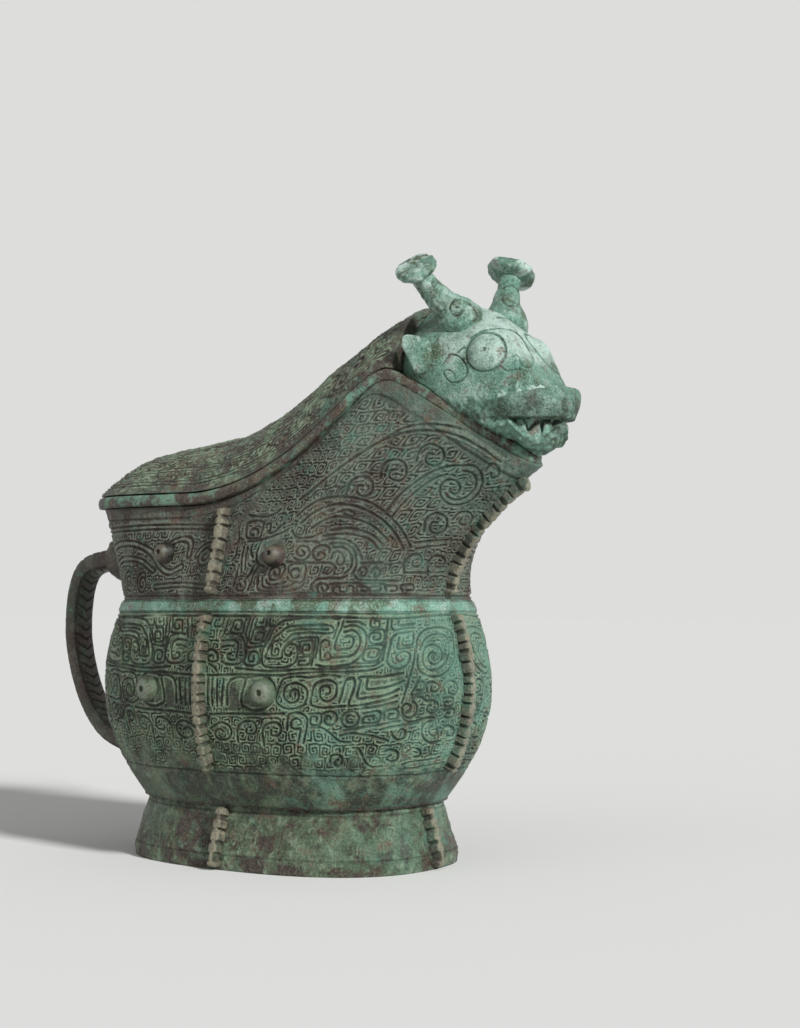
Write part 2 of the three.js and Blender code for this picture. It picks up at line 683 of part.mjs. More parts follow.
// Hollow under the roof of the head, which keeps the wall's metal around the roots of the horns
let hollowRoof = solid(headLoft(-HEAD_WALL, HEAD_HALF_WIDTH * 1.54, HEAD_WALL * 2.25, -HEAD_WALL * 6));
for (const [, root, tip] of hornSides) {
  const stem = hornStem(root.distanceTo(tip), SEAT_GAP + HEAD_WALL);
  hollowRoof = hollowRoof.subtract(solid(placed(stem, root, tip)));
}
// Room inside the jaw for the vessel's rim and the lid's border
const jawRoomRing = (height, wide) => angles.map((t) => {
  const [x, y] = mouthPlan(t, JAW_PLAY);
  return [x, y * wide, rimZ(x) + height];
});
const jawRoom = solid(loft([
  jawRoomRing(-JAW_ROOM_DEPTH, 0),
  jawRoomRing(-JAW_ROOM_DEPTH, 1),
  jawRoomRing(VAULT_BASE + SEAT_GAP, 1),
  jawRoomRing(VAULT_BASE + SEAT_GAP, 0),
], false, true));
const head = skull.add(lip).subtract(slit).subtract(hollowRoof).subtract(jawRoom);

// Horns: a swelling root, a stem and a spreading disc
function placed(geometry, root, tip) {
  const way = tip.clone().sub(root).normalize();
  geometry.applyQuaternion(new THREE.Quaternion().setFromUnitVectors(new THREE.Vector3(0, 1, 0), way));
  geometry.translate(root.x, root.y, root.z);
  return turnedOut(mergeVertices(bared(geometry), 1e-4));
}
function hornStem(length, grow) {
  const end = length - HORN_CAP_THICK;
  return new THREE.LatheGeometry([
    new THREE.Vector2(0, -HORN_BULB_RADIUS * 0.7 - grow),
    new THREE.Vector2(HORN_BULB_RADIUS * 0.7 + grow, -HORN_BULB_RADIUS * 0.7 - grow),
    new THREE.Vector2(HORN_BULB_RADIUS + grow, 0),
    new THREE.Vector2(HORN_BULB_RADIUS * 0.92 + grow, end * 0.2),
    new THREE.Vector2(HORN_BULB_RADIUS * 0.62 + grow, end * 0.48),
    new THREE.Vector2(HORN_STEM_RADIUS + grow, end * 0.72),
    new THREE.Vector2(HORN_STEM_RADIUS * 1.12 + grow, end),
    new THREE.Vector2(0, end),
  ], 18);
}
function hornCap(length, radius) {
  const low = length - HORN_CAP_THICK + SEAT_GAP;
  return new THREE.LatheGeometry([
    new THREE.Vector2(0, low),
    new THREE.Vector2(HORN_STEM_RADIUS * 1.2, low),
    new THREE.Vector2(radius, length - HORN_CAP_THICK * 0.3),
    new THREE.Vector2(radius * 0.94, length + HORN_CAP_THICK * 0.12),
    new THREE.Vector2(radius * 0.5, length + HORN_CAP_THICK * 0.4),
    new THREE.Vector2(0, length + HORN_CAP_THICK * 0.48),
  ], 20);
}
let headCut = head;
const stems = [];
for (const [side, root, tip, capRadius] of hornSides) {
  const length = root.distanceTo(tip);
  stems.push([side, solid(placed(hornStem(length, 0), root, tip))]);
  headCut = headCut.subtract(solid(placed(hornStem(length, SEAT_GAP), root, tip)));
  addPiece(`horn_cap_${side}`, placed(hornCap(length, capRadius), root, tip), PALE_GREEN);
}
for (const [side, stem] of stems) addPiece(`horn_${side}`, fromSolid(stem), PALE_GREEN);

// Eyes: low domes on the cheeks, each in a shallow socket
for (const [side, sign] of [["left", 1], ["right", -1]]) {
  const normal = new THREE.Vector3(0.34, sign * 0.92, 0.2).normalize();
  const root = new THREE.Vector3(EYE_X, sign * (HEAD_HALF_WIDTH - EYE_SINK), EYE_Z);
  const profile = (grow) => [
    new THREE.Vector2(0, -2 - grow),
    new THREE.Vector2(EYE_RADIUS + grow, -2 - grow),
    new THREE.Vector2(EYE_RADIUS + grow, 0.6),
    new THREE.Vector2(EYE_RADIUS * 0.86 + grow, EYE_HEIGHT * 0.55),
    new THREE.Vector2(EYE_RADIUS * 0.55, EYE_HEIGHT * 0.9 + grow),
    new THREE.Vector2(0, EYE_HEIGHT + grow),
  ];
  const tip = root.clone().add(normal);
  addPiece(`eye_${side}`, placed(new THREE.LatheGeometry(profile(0), 18), root, tip), PALE_GREEN);
  headCut = headCut.subtract(solid(placed(new THREE.LatheGeometry(profile(SEAT_GAP), 18), root, tip)));
}
addPiece("beast_head", fromSolid(headCut), PALE_GREEN);

// Ears: pointed fins at the back corners of the head
const headSeat = solid(headLoft(SEAT_GAP, 0, 0, 0)).add(solid(shell(
  vaultGrid(-SEAT_GAP, -SEAT_GAP, 26, 17),
  vaultGrid(LID_WALL, LID_WALL, 26, 17),
)));
for (const [side, sign] of [["left", 1], ["right", -1]]) {
  const fin = new THREE.Shape([
    new THREE.Vector2(-5, EAR_LENGTH / 2),
    new THREE.Vector2(3, EAR_LENGTH * 0.3),
    new THREE.Vector2(5, -EAR_LENGTH / 2),
    new THREE.Vector2(-2, -EAR_LENGTH * 0.1),
  ]);
  const plate = new THREE.ExtrudeGeometry(fin, { depth: EAR_THICK + EAR_OUT, bevelEnabled: false });
  plate.rotateX(Math.PI / 2);
  plate.translate(HEAD_BACK_X + 5, sign > 0 ? EAR_Y + EAR_OUT : -EAR_Y + EAR_THICK, EAR_Z);
  addPiece(`ear_${side}`, fromSolid(solid(plate).subtract(headSeat)), PALE_GREEN);
}

// Teeth: a zigzag row along each jaw inside the mouth slit
function teeth(rootZ, up) {
  const stations = TOOTH_COUNT * 2 + 1;
  const half = HEAD_HALF_WIDTH * 0.86 - TOOTH_THICK;
  const rings = spread(-1, 1, stations).map((t, i) => {
    const turn = t * Math.PI * 0.5;
    const tall = (i % 2 === 1) === (up > 0) ? TOOTH_HEIGHT : TOOTH_ROOT;
    const reach = MOUTH_SLIT_LENGTH * 0.757;
    const at = (inset, z) => [
      MOUTH_SLIT_CORNER_X + SEAT_GAP + (reach - inset) * Math.cos(turn) ** 0.7,
      (half - inset) * Math.sin(turn),
      z,
    ];
    const top = rootZ + up * tall;
    return [at(0, rootZ), at(0, top), at(TOOTH_THICK, top), at(TOOTH_THICK, rootZ)];
  });
  return loft(rings);
}
addPiece("teeth_lower", teeth(MOUTH_SLIT_Z + SEAT_GAP, 1), PALE_GREEN);
addPiece("teeth_upper", teeth(slitTop - SEAT_GAP, -1), PALE_GREEN);

// Handle: a beast's head on the neck wall, a strap that leaves its mouth, and two ears
const handleRoot = outwards(REAR, neckPoint(REAR, 0.45, 0));
const handleHeadShape = (grow) => {
  const ball = new THREE.SphereGeometry(1, 18, 12);
  ball.scale(
    (HANDLE_HEAD_REACH + 4) / 2 + grow,
    HANDLE_HEAD_HALF_WIDTH + grow,
    HANDLE_HEAD_HALF_HEIGHT + grow,
  );
  ball.translate(-handleRoot - HANDLE_HEAD_REACH / 2 + 2, 0, HANDLE_TOP_Z);
  return solid(ball).subtract(seat);
};
const handleHead = handleHeadShape(0);
const strapOut = HANDLE_REACH - HANDLE_THICK / 2;
const strap = new THREE.CatmullRomCurve3([
  new THREE.Vector3(-handleRoot - HANDLE_HEAD_REACH * 0.6, 0, HANDLE_TOP_Z + 1),
  new THREE.Vector3(-strapOut + STRAP_BOW, 0, HANDLE_TOP_Z - 5),
  new THREE.Vector3(-strapOut, 0, STRAP_OUT_Z),
  new THREE.Vector3(-strapOut + STRAP_BOW, 0, 2 * STRAP_OUT_Z - HANDLE_TOP_Z + 5),
  new THREE.Vector3(-strapOut + 3 * STRAP_BOW, 0, HANDLE_FOOT_Z + 7),
  new THREE.Vector3(-BELLY_HALF_LENGTH - STRAP_BOW, 0, HANDLE_FOOT_Z),
  new THREE.Vector3(-BELLY_HALF_LENGTH + STRAP_BOW, 0, HANDLE_FOOT_Z),
]);
function strapRing(t) {
  const at = strap.getPointAt(t);
  const way = strap.getTangentAt(t);
  return Array.from({ length: 12 }, (_, i) => {
    const [across, out] = unitOval((2 * Math.PI * i) / 12, 3);
    const away = (out * HANDLE_THICK) / 2;
    return [at.x - way.z * away, (across * HANDLE_WIDTH) / 2, at.z + way.x * away];
  });
}
const strapSolid = solid(loft(spread(0, 1, 31).map(strapRing)));
const strapCut = strapSolid.subtract(handleHeadShape(SEAT_GAP)).subtract(seat);
addPiece("handle_strap", fromSolid(strapCut), DARK_BRONZE);
addPiece("handle_head", fromSolid(handleHead), DARK_BRONZE);
for (const [side, sign] of [["left", 1], ["right", -1]]) {
  const cone = new THREE.ConeGeometry(HANDLE_EAR_RADIUS, HANDLE_EAR_HEIGHT + 4, 10);
  cone.rotateX(Math.PI / 2);
  cone.rotateX(sign * -0.5);
  const earX = -handleRoot - HANDLE_HEAD_REACH * 0.4;
  cone.translate(earX, sign * HANDLE_HEAD_HALF_WIDTH * 0.62, HANDLE_TOP_Z + HANDLE_HEAD_HALF_HEIGHT);
  addPiece(`handle_ear_${side}`, fromSolid(solid(cone).subtract(handleHeadShape(SEAT_GAP))), DARK_BRONZE);
}

export default group;
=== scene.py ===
"""Looks of a bronze guang: a covered wine vessel in the shape of a beast, cast relief under green patina.

The shape functions work in millimetres and the meshes are laid down in metres, in the frame of the solids:
+X is the way the beast looks, +Y is its left, +Z is up, and the foot stands on z = 0.
"""
import itertools
import math
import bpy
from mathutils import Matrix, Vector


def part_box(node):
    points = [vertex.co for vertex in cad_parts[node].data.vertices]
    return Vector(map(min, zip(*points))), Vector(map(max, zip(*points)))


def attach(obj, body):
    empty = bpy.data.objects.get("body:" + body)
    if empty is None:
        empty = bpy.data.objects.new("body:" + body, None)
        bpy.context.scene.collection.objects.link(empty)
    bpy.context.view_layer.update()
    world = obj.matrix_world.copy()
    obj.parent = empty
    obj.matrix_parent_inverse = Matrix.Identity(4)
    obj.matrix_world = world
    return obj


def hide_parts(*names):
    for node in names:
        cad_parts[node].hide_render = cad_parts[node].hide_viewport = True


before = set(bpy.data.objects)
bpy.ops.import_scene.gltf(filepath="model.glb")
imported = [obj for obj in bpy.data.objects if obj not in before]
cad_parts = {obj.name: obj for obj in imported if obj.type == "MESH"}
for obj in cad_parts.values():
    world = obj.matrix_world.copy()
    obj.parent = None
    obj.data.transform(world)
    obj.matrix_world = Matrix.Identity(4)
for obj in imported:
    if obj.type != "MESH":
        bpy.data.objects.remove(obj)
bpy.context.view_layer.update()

from types import SimpleNamespace

import bpy
import numpy as np
from bpy.props import FloatProperty, FloatVectorProperty, PointerProperty
from mathutils import Vector

bl_info = {
    "name": "Bronze guang",
    "version": (1, 0, 0),
    "blender": (4, 5, 0),
    "location": "View3D > Sidebar > Guang",
    "description": "Cast bronze guang with its lid, beast head, handle and relief",
    "category": "Add Mesh",
}

MM = 0.001
JOIN_SCALE = 1e7
ROWS, COLUMNS, BOTH = (True, False), (False, True), (True, True)
SIDES = (("left", 1), ("right", -1))
QUARTERS = [("right", "front"), ("left", "front"), ("left", "rear"), ("right", "rear")]

# Curves of the walls
OVAL = 2.5
SHOULDER = 0.9
BELLY_TUCK, TUCK_POWER, SHOULDER_DRAW = 0.225, 1.95, 0.075
RIM_TURN, SPOUT_FALL = -18, 0.72

# Relief of the walls: height of the crests, how pale the crests are painted (a painted highlight with wear),
# and how pale lifted grain is
CREST_HEIGHT, CREST_PALE, ROUGH_PALE = 0.28, 0.3, 0.6

# The mouth: how far its roof lies below the crown, its middle behind the snout, and the turn of each side
MOUTH_DROP, MOUTH_BACK, MOUTH_TURN = 48.2, 20, math.radians(76)

# The front quarter view: a frame of 800 x 1028 pixels, with the focal length and the aim in its pixels
FRAME_HEIGHT, FRAME_MIDDLE = 1028, (400, 514)
FOCAL, AIM_RIGHT, AIM_UP = 1700, 105, 91
DISTANCE, EYE_HEIGHT, VIEW_TURN = 689.5, 100, math.radians(38)
FRAME_SCALE = FOCAL / DISTANCE
SENSOR = 36


def length(label, mm, words):
    """A length property whose default is given in millimetres."""
    return FloatProperty(name=label, description=words, default=mm * MM, unit="LENGTH", precision=4)


def tint(label, rgb, words):
    """A colour property."""
    return FloatVectorProperty(name=label, description=words, default=rgb, subtype="COLOR", size=3,
                               min=0, max=1)


class GuangSizes(bpy.types.PropertyGroup):
    """Main lengths of the vessel and its lid."""

    wall: length("Wall", 3.2, "Thickness of the cast wall")
    foot_height: length("Foot height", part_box("foot_ring")[1].z / MM, "Height of the foot ring")
    foot_half_length: length("Foot half length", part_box("foot_ring")[1].x / MM, "Half of the foot's length")
    foot_half_width: length("Foot half width", 47.5, "Half of the foot's width")
    foot_flare: length("Foot flare", 5.6, "How far the foot spreads to its edge")
    foot_edge: length("Foot edge", 5, "Height of the plain edge of the foot")
    belly_half_length: length("Belly half length", 81.5, "Half of the belly's length at its swell")
    belly_half_width: length("Belly half width", 57, "Half of the belly's width at its swell")
    swell_rise: length("Swell rise", 44, "Height of the swell over the foot")
    band_rise: length("Band rise", 29, "Height of the shoulder band over the swell")
    band_height: length("Band height", 5, "Height of the plain shoulder band")
    band_proud: length("Band proud", 0.8, "How far the shoulder band stands out")
    mouth_rear: length("Mouth rear", 72.5, "Reach of the mouth behind the middle")
    spout_reach: length("Spout reach", 113.5, "Reach of the spout before the middle")
    mouth_half_width: length("Mouth half width", 38.5, "Half of the mouth's width")
    mouth_taper: length("Mouth taper", 18.5, "How far the mouth narrows to the spout")
    rim_rise: length("Rim rise", 36.5, "Height of the rear rim over the shoulder band")
    rim_radius: length("Rim radius", 65.8, "Radius of the rim's rising curve")
    spout_rise: length("Spout rise", 49, "Height of the spout's lip over the shoulder band")
    rib_thick: length("Rib thickness", 4.6, "Thickness of the cast ribs")
    rib_proud: length("Rib height", 4, "How far the ribs stand out")
    lid_overhang: length("Lid overhang", 2.2, "How far the lid's border stands over the wall")
    lid_border: length("Lid border", 4.5, "Height of the lid's plain border")
    lid_wall: length("Lid wall", 3, "Thickness of the lid")
    head_back: length("Back of head", 66, "Where the head meets the lid's vault")
    snout: length("Snout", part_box("beast_head")[1].x / MM, "Reach of the snout before the middle")
    head_top: length("Top of head", 216, "Height of the top of the head")


class GuangRelief(bpy.types.PropertyGroup):
    """Depth and pitch of the cast ornament."""

    line_depth: length("Line depth", 0.55, "Depth of the sunk lines")
    line_half: length("Line half width", 0.43, "Half width of the sunk lines")
    line_free: length("Line margin", 0.85, "Distance that the ground keeps from a drawn line")
    cell: length("Spiral cell", 4.7, "Size of one square spiral of the ground")
    pitch: length("Spiral pitch", 1.2, "Distance between the turns of a square spiral")


class GuangPatina(bpy.types.PropertyGroup):
    """Colours of the patina."""

    mint: tint("Mint", (0.47, 0.62, 0.55), "Pale green crust")
    verdigris: tint("Verdigris", (0.125, 0.265, 0.19), "Bright green of head, band and border")
    sage: tint("Sage", (0.215, 0.290, 0.190), "Pale grey green crust")
    lichen: tint("Lichen", (0.165, 0.195, 0.145), "Grey crust of neck, bosses and handle")
    leaf: tint("Green", (0.068, 0.104, 0.056), "Common green")
    moss: tint("Grey green", (0.040, 0.048, 0.031), "Dull green under the crust")
    umber: tint("Brown", (0.060, 0.040, 0.031), "Brown of the bare metal")
    # Bronze also darkens the floors of the lines and the hollows, as painted shade with dark deposit
    bronze: tint("Bronze", (0.012, 0.013, 0.010), "Dark metal on the floors of the lines")
    earth: tint("Earth", (0.26, 0.24, 0.17), "Buff crust on the ribs")
    lagoon: tint("Sea green", (0.20, 0.40, 0.31), "Pale blue green crust of the front")
    clay: tint("Clay", (0.105, 0.092, 0.066), "Brown crust of ribs and bosses")
    cuprite: tint("Red crust", (0.115, 0.055, 0.036), "Red brown spots")
    azure: tint("Blue crust", (0.075, 0.21, 0.155), "Blue green patches")


def sizes():
    """The length properties in millimetres, with the heights that follow from them."""
    scene = bpy.context.scene
    s = SimpleNamespace()
    for group in (scene.guang_sizes, scene.guang_relief):
        for key in group.__annotations__:
            setattr(s, key, round(getattr(group, key) / MM, 4))
    s.swell = s.foot_height + s.swell_rise
    s.band = s.swell + s.band_rise
    s.neck = s.band + s.band_height
    return s


# Shapes of the walls

def ease(t):
    """0 to 1 with level ends: 3t^2 - 2t^3."""
    t = np.clip(t, 0, 1)
    return t * t * (3 - 2 * t)


def around(count):
    """Angles of a full turn in even steps."""
    return np.linspace(0, 2 * np.pi, count, endpoint=False)


def unit(v, least=1e-9):
    """Directions of vectors; those shorter than the least come out shorter than 1."""
    return v / np.maximum(np.linalg.norm(v, axis=-1, keepdims=True), least)


def lengths(path):
    """Length run along a path at each of its points."""
    return np.concatenate([[0], np.cumsum(np.linalg.norm(np.diff(path, axis=0), axis=1))])


def smooth_table(t, knots, values, span):
    """Values between knots, eased by averaging the straight interpolation over a short span."""
    return np.mean([np.interp(t + k * span, knots, values) for k in np.linspace(-1, 1, 9)], 0)


def oval(angle, power):
    """Point of |x|^power + |y|^power = 1 in the direction of the angle."""
    c, d = np.cos(angle), np.sin(angle)
    r = (np.abs(c) ** power + np.abs(d) ** power) ** (-1 / power)
    return c * r, d * r


def soft_min(a, b, corner):
    """The lesser of two heights with the corner between them rounded: (a + b - hypot(a - b, corner)) / 2."""
    return (a + b - np.hypot(a - b, corner)) / 2


def rim_z(s, x):
    """Rim line: level at the back, a parabola from RIM_TURN on, then a straight fall to the spout."""
    rise = s.neck + s.rim_rise + np.maximum(0, x - RIM_TURN) ** 2 / (2 * s.rim_radius)
    return soft_min(rise, s.neck + s.spout_rise + SPOUT_FALL * (s.spout_reach - x), 10)


def mouth_plan(s, angle, out):
    """Mouth outline: an oval that is square at the back and narrows in a straight line to the spout."""
    mx, my = oval(angle, 3.5 - np.cos(angle))
    half = (s.spout_reach + s.mouth_rear) / 2
    x = (s.spout_reach - s.mouth_rear) / 2 + (half + out) * mx
    return x, (s.mouth_half_width - s.mouth_taper * mx + out) * my


def belly_scale(s, z):
    """Share of the full oval: a power curve below the swell, a parabola above it."""
    low = 1 - BELLY_TUCK * (np.maximum(0, s.swell - z) / s.swell_rise) ** TUCK_POWER
    return np.where(z < s.swell, low, 1 - SHOULDER_DRAW * ((z - s.swell) / s.band_rise) ** 2)


def belly_ring(s, angle, share, out, z):
    """Oval of the belly at a share of its full size, moved outward by out."""
    ux, uy = oval(angle, OVAL)
    x, y = (s.belly_half_length * share + out) * ux, (s.belly_half_width * share + out) * uy
    return np.stack([x, y, z + 0 * ux], -1)


def belly_point(s, angle, z, out=0.0):
    """Belly wall: ovals scaled by belly_scale."""
    return belly_ring(s, angle, belly_scale(s, z), out, z)


def neck_point(s, angle, level, out=0.0):
    """Neck wall from the shoulder's oval (level 0) to the rim (level 1); it flares with level squared."""
    ux, uy = oval(angle, OVAL)
    x0, y0 = (SHOULDER * s.belly_half_length + out) * ux, (SHOULDER * s.belly_half_width + out) * uy
    x1, y1 = mouth_plan(s, angle, out)
    z = s.neck + (rim_z(s, x1) - s.neck) * level
    return np.stack([x0 + (x1 - x0) * level ** 2, y0 + (y1 - y0) * level, z], -1)


def foot_point(s, angle, z, out=0.0):
    """Foot ring: an oval that draws in by the flare above its plain edge."""
    ux, uy = oval(angle, OVAL)
    out = out - s.foot_flare * np.clip((z - s.foot_edge) / (s.foot_height - s.foot_edge), 0, 1)
    return np.stack([(s.foot_half_length + out) * ux, (s.foot_half_width + out) * uy, z + 0 * ux], -1)


def quarter(s, count, side, end):
    """Angles of one quarter of the oval, evenly spaced along it, and the length run from the side rib."""
    fine = np.linspace(-np.pi / 2, 0, 4001)
    x, y = oval(fine, OVAL)
    run = np.cumsum(np.hypot(np.diff(s.belly_half_length * x), np.diff(s.belly_half_width * y)))
    run = np.concatenate([[0], run])
    u = np.linspace(0, run[-1], count)
    angle = np.interp(u, run, fine)
    if (side, end) == ("right", "front"):
        return angle, u
    if (side, end) == ("left", "front"):
        return -angle[::-1], u[::-1]
    if (side, end) == ("left", "rear"):
        return np.pi + angle, u
    return np.pi - angle[::-1], u[::-1]


def folded(skin, side, end):
    """Points carried into the near front quarter, where the lines are drawn."""
    return skin * (1 if end == "front" else -1, -1 if side == "left" else 1, 1)


# View

def quarter_view():
    """Eye point, forward, right and upward directions of the front quarter view."""
    ahead = np.array([-math.sin(VIEW_TURN), math.cos(VIEW_TURN), 0])
    across = np.array([math.cos(VIEW_TURN), math.sin(VIEW_TURN), 0])
    eye = -DISTANCE * ahead + (0, 0, EYE_HEIGHT)
    ahead = ahead + across * (AIM_RIGHT / FOCAL) + np.array([0, 0, AIM_UP / FOCAL])
    ahead /= np.linalg.norm(ahead)
    across = np.cross(ahead, (0, 0, 1))
    across /= np.linalg.norm(across)
    return eye, ahead, across, np.cross(across, ahead)


def seen(p):
    """Where points fall in the front quarter view, in millimetres from its middle at DISTANCE."""
    eye, ahead, across, upright = quarter_view()
    gap = p - eye
    depth = gap @ ahead
    return np.stack([DISTANCE * (gap @ across) / depth, DISTANCE * (gap @ upright) / depth], -1)


# Relief

def grain(p, size, seed=0):
    """Smooth noise from -1 to 1: values hashed at the corners of a cubic lattice and eased between them."""
    q = p / size + 17.3 * (seed + 1)
    cell = np.floor(q).astype(np.int64)
    f = ease(q - cell)
    total = np.zeros(p.shape[:-1])
    for corner in itertools.product((0, 1), repeat=3):
        k = (cell + corner) @ np.array([374761393, 668265263, 1274126177])
        k = ((k ^ (k >> 13)) * 1103515245) & 0x7FFFFFFF
        weight = np.prod(np.where(corner, f, 1 - f), -1)
        total += weight * (((k >> 8) & 0xFFFF) / 32767.5 - 1)
    return total


def grains(p, *layers):
    """Sum of layers of grain, each a height, a size and a seed."""
    return sum(high * grain(p, size, seed) for high, size, seed in layers)


def path_distance(p, path, reach):
    """Least distance from points to a broken line of any dimension, or reach where it is farther."""
    path = np.asarray(path, float)
    near = np.all((p > path.min(0) - reach) & (p < path.max(0) + reach), -1)
    out = np.full(p.shape[:-1], float(reach))
    a, step = path[:-1], np.diff(path, axis=0)
    gap = p[near][:, None, :] - a
    t = np.clip((gap * step).sum(-1) / np.maximum((step ** 2).sum(-1), 1e-9), 0, 1)
    gap = gap - t[..., None] * step
    if gap.size:
        out[near] = np.minimum(reach, np.sqrt((gap ** 2).sum(-1).min(1)))
    return out


def sunk(distance, half):
    """Cross section of a sunk line: 1 at its middle, falling as a parabola to 0 at its half width."""
    return np.clip(1 - (distance / half) ** 2, 0, 1)


def bent(*points, steps=9):
    """A smooth line through points (Catmull-Rom)."""
    p = np.asarray(points, float)
    p = np.vstack([2 * p[0] - p[1], p, 2 * p[-1] - p[-2]])
    t = np.linspace(0, 1, steps)[:, None]
    a, b, c, d = (p[i:len(p) - 3 + i, None] for i in range(4))
    square, cube = 2 * a - 5 * b + 4 * c - d, 3 * b - a - 3 * c + d
    run = 0.5 * (2 * b + (c - a) * t + square * t ** 2 + cube * t ** 3)
    return run.reshape(-1, p.shape[1])


def spiral(u, v, radius, turns, start=0.0, way=1):
    """A round spiral that runs from its outer end to its middle at an even pitch."""
    t = np.linspace(0, 1, int(26 * turns))
    r, a = radius * (1 - 0.94 * t), start + way * 2 * np.pi * turns * t
    return np.stack([u + r * np.cos(a), v + r * np.sin(a)], -1)


def thunder(u, v, cell, pitch, half):
    """Ground of square spirals: in each cell the rounded square distance less the turn, over the pitch."""
    row = np.floor(v / cell)
    along = u / cell + 0.5 * (row % 2)
    col = np.floor(along)
    a, b = along - col - 0.5, v / cell - row - 0.5
    hand = np.where((col + row) % 2 > 0, 1.0, -1.0)
    square = (np.abs(a) ** 6 + np.abs(b) ** 6) ** (1 / 6) * cell
    s = square / pitch - np.arctan2(b, hand * a) / (2 * np.pi)
    return sunk(np.abs(s - np.floor(s) - 0.5) * pitch, half)


def swayed_ground(s, skin, u, v, seed):
    """Ground of a wall, its rows swayed by two layers of grain."""
    sway, lift = 1.5 * grain(skin, 11, seed), 1.1 * grain(skin, 8, seed + 1)
    return thunder(u + sway, v + lift, s.cell, s.pitch, 0.7 * s.line_half)


def field(u, v, low_u, high_u, low_v, high_v):
    """1 inside a box of a wall's own coordinates, easing to 0 over 0.8 at its edges."""
    return (ease((u - low_u) / 0.8) * ease((high_u - u) / 0.8)
            * ease((v - low_v) / 0.8) * ease((high_v - v) / 0.8))


def ornament(s, p, lines, pads, ground, inside):
    """Depth of a field of sunk lines and the crests of the metal beside them, both 0 to 1.

    A line is a path and a half width: 0 cuts the path itself, more cuts both edges of a flat ribbon along it.
    The ground fills what the lines and the plain pads leave free inside the field.
    """
    reach = 4.0
    near, free = np.full(p.shape[:-1], reach), np.full(p.shape[:-1], reach)
    for path, half in lines:
        d = path_distance(p, path, half + reach) - half
        near = np.minimum(near, np.abs(d) if half else d)
        free = np.minimum(free, d - s.line_free)
    for path, half in pads:
        free = np.minimum(free, path_distance(p, path, half + reach) - half)
    near = near + 0.14 * grain(p if p.shape[-1] == 3 else np.dstack([p, 0 * p[..., 0]]), 2, 41)
    open_ground = inside * ease(free / 0.3)
    crest = np.maximum(sunk(near - 2.2 * s.line_half, 1.2 * s.line_half), open_ground * (1 - ground))
    return np.maximum(sunk(np.maximum(near, 0), s.line_half), 0.9 * open_ground * ground), crest


def laid(skin, drawing):
    """Carries lines drawn in the front quarter view on to a wall.

    A line is a half width and points (x, y, x, y ...) of the 800 x 1028 frame. Each point takes the place of
    the wall's grid point that is seen nearest to it, and a smooth line joins them there.
    """
    wall = skin.reshape(-1, 3)
    view = seen(wall)
    lines = []
    for half, *numbers in drawing:
        points = (np.reshape(numbers, (-1, 2)) - FRAME_MIDDLE) * (1, -1) / FRAME_SCALE
        nearest = ((view[:, None] - points) ** 2).sum(-1).argmin(0)
        lines.append((bent(*wall[nearest]), half))
    return lines


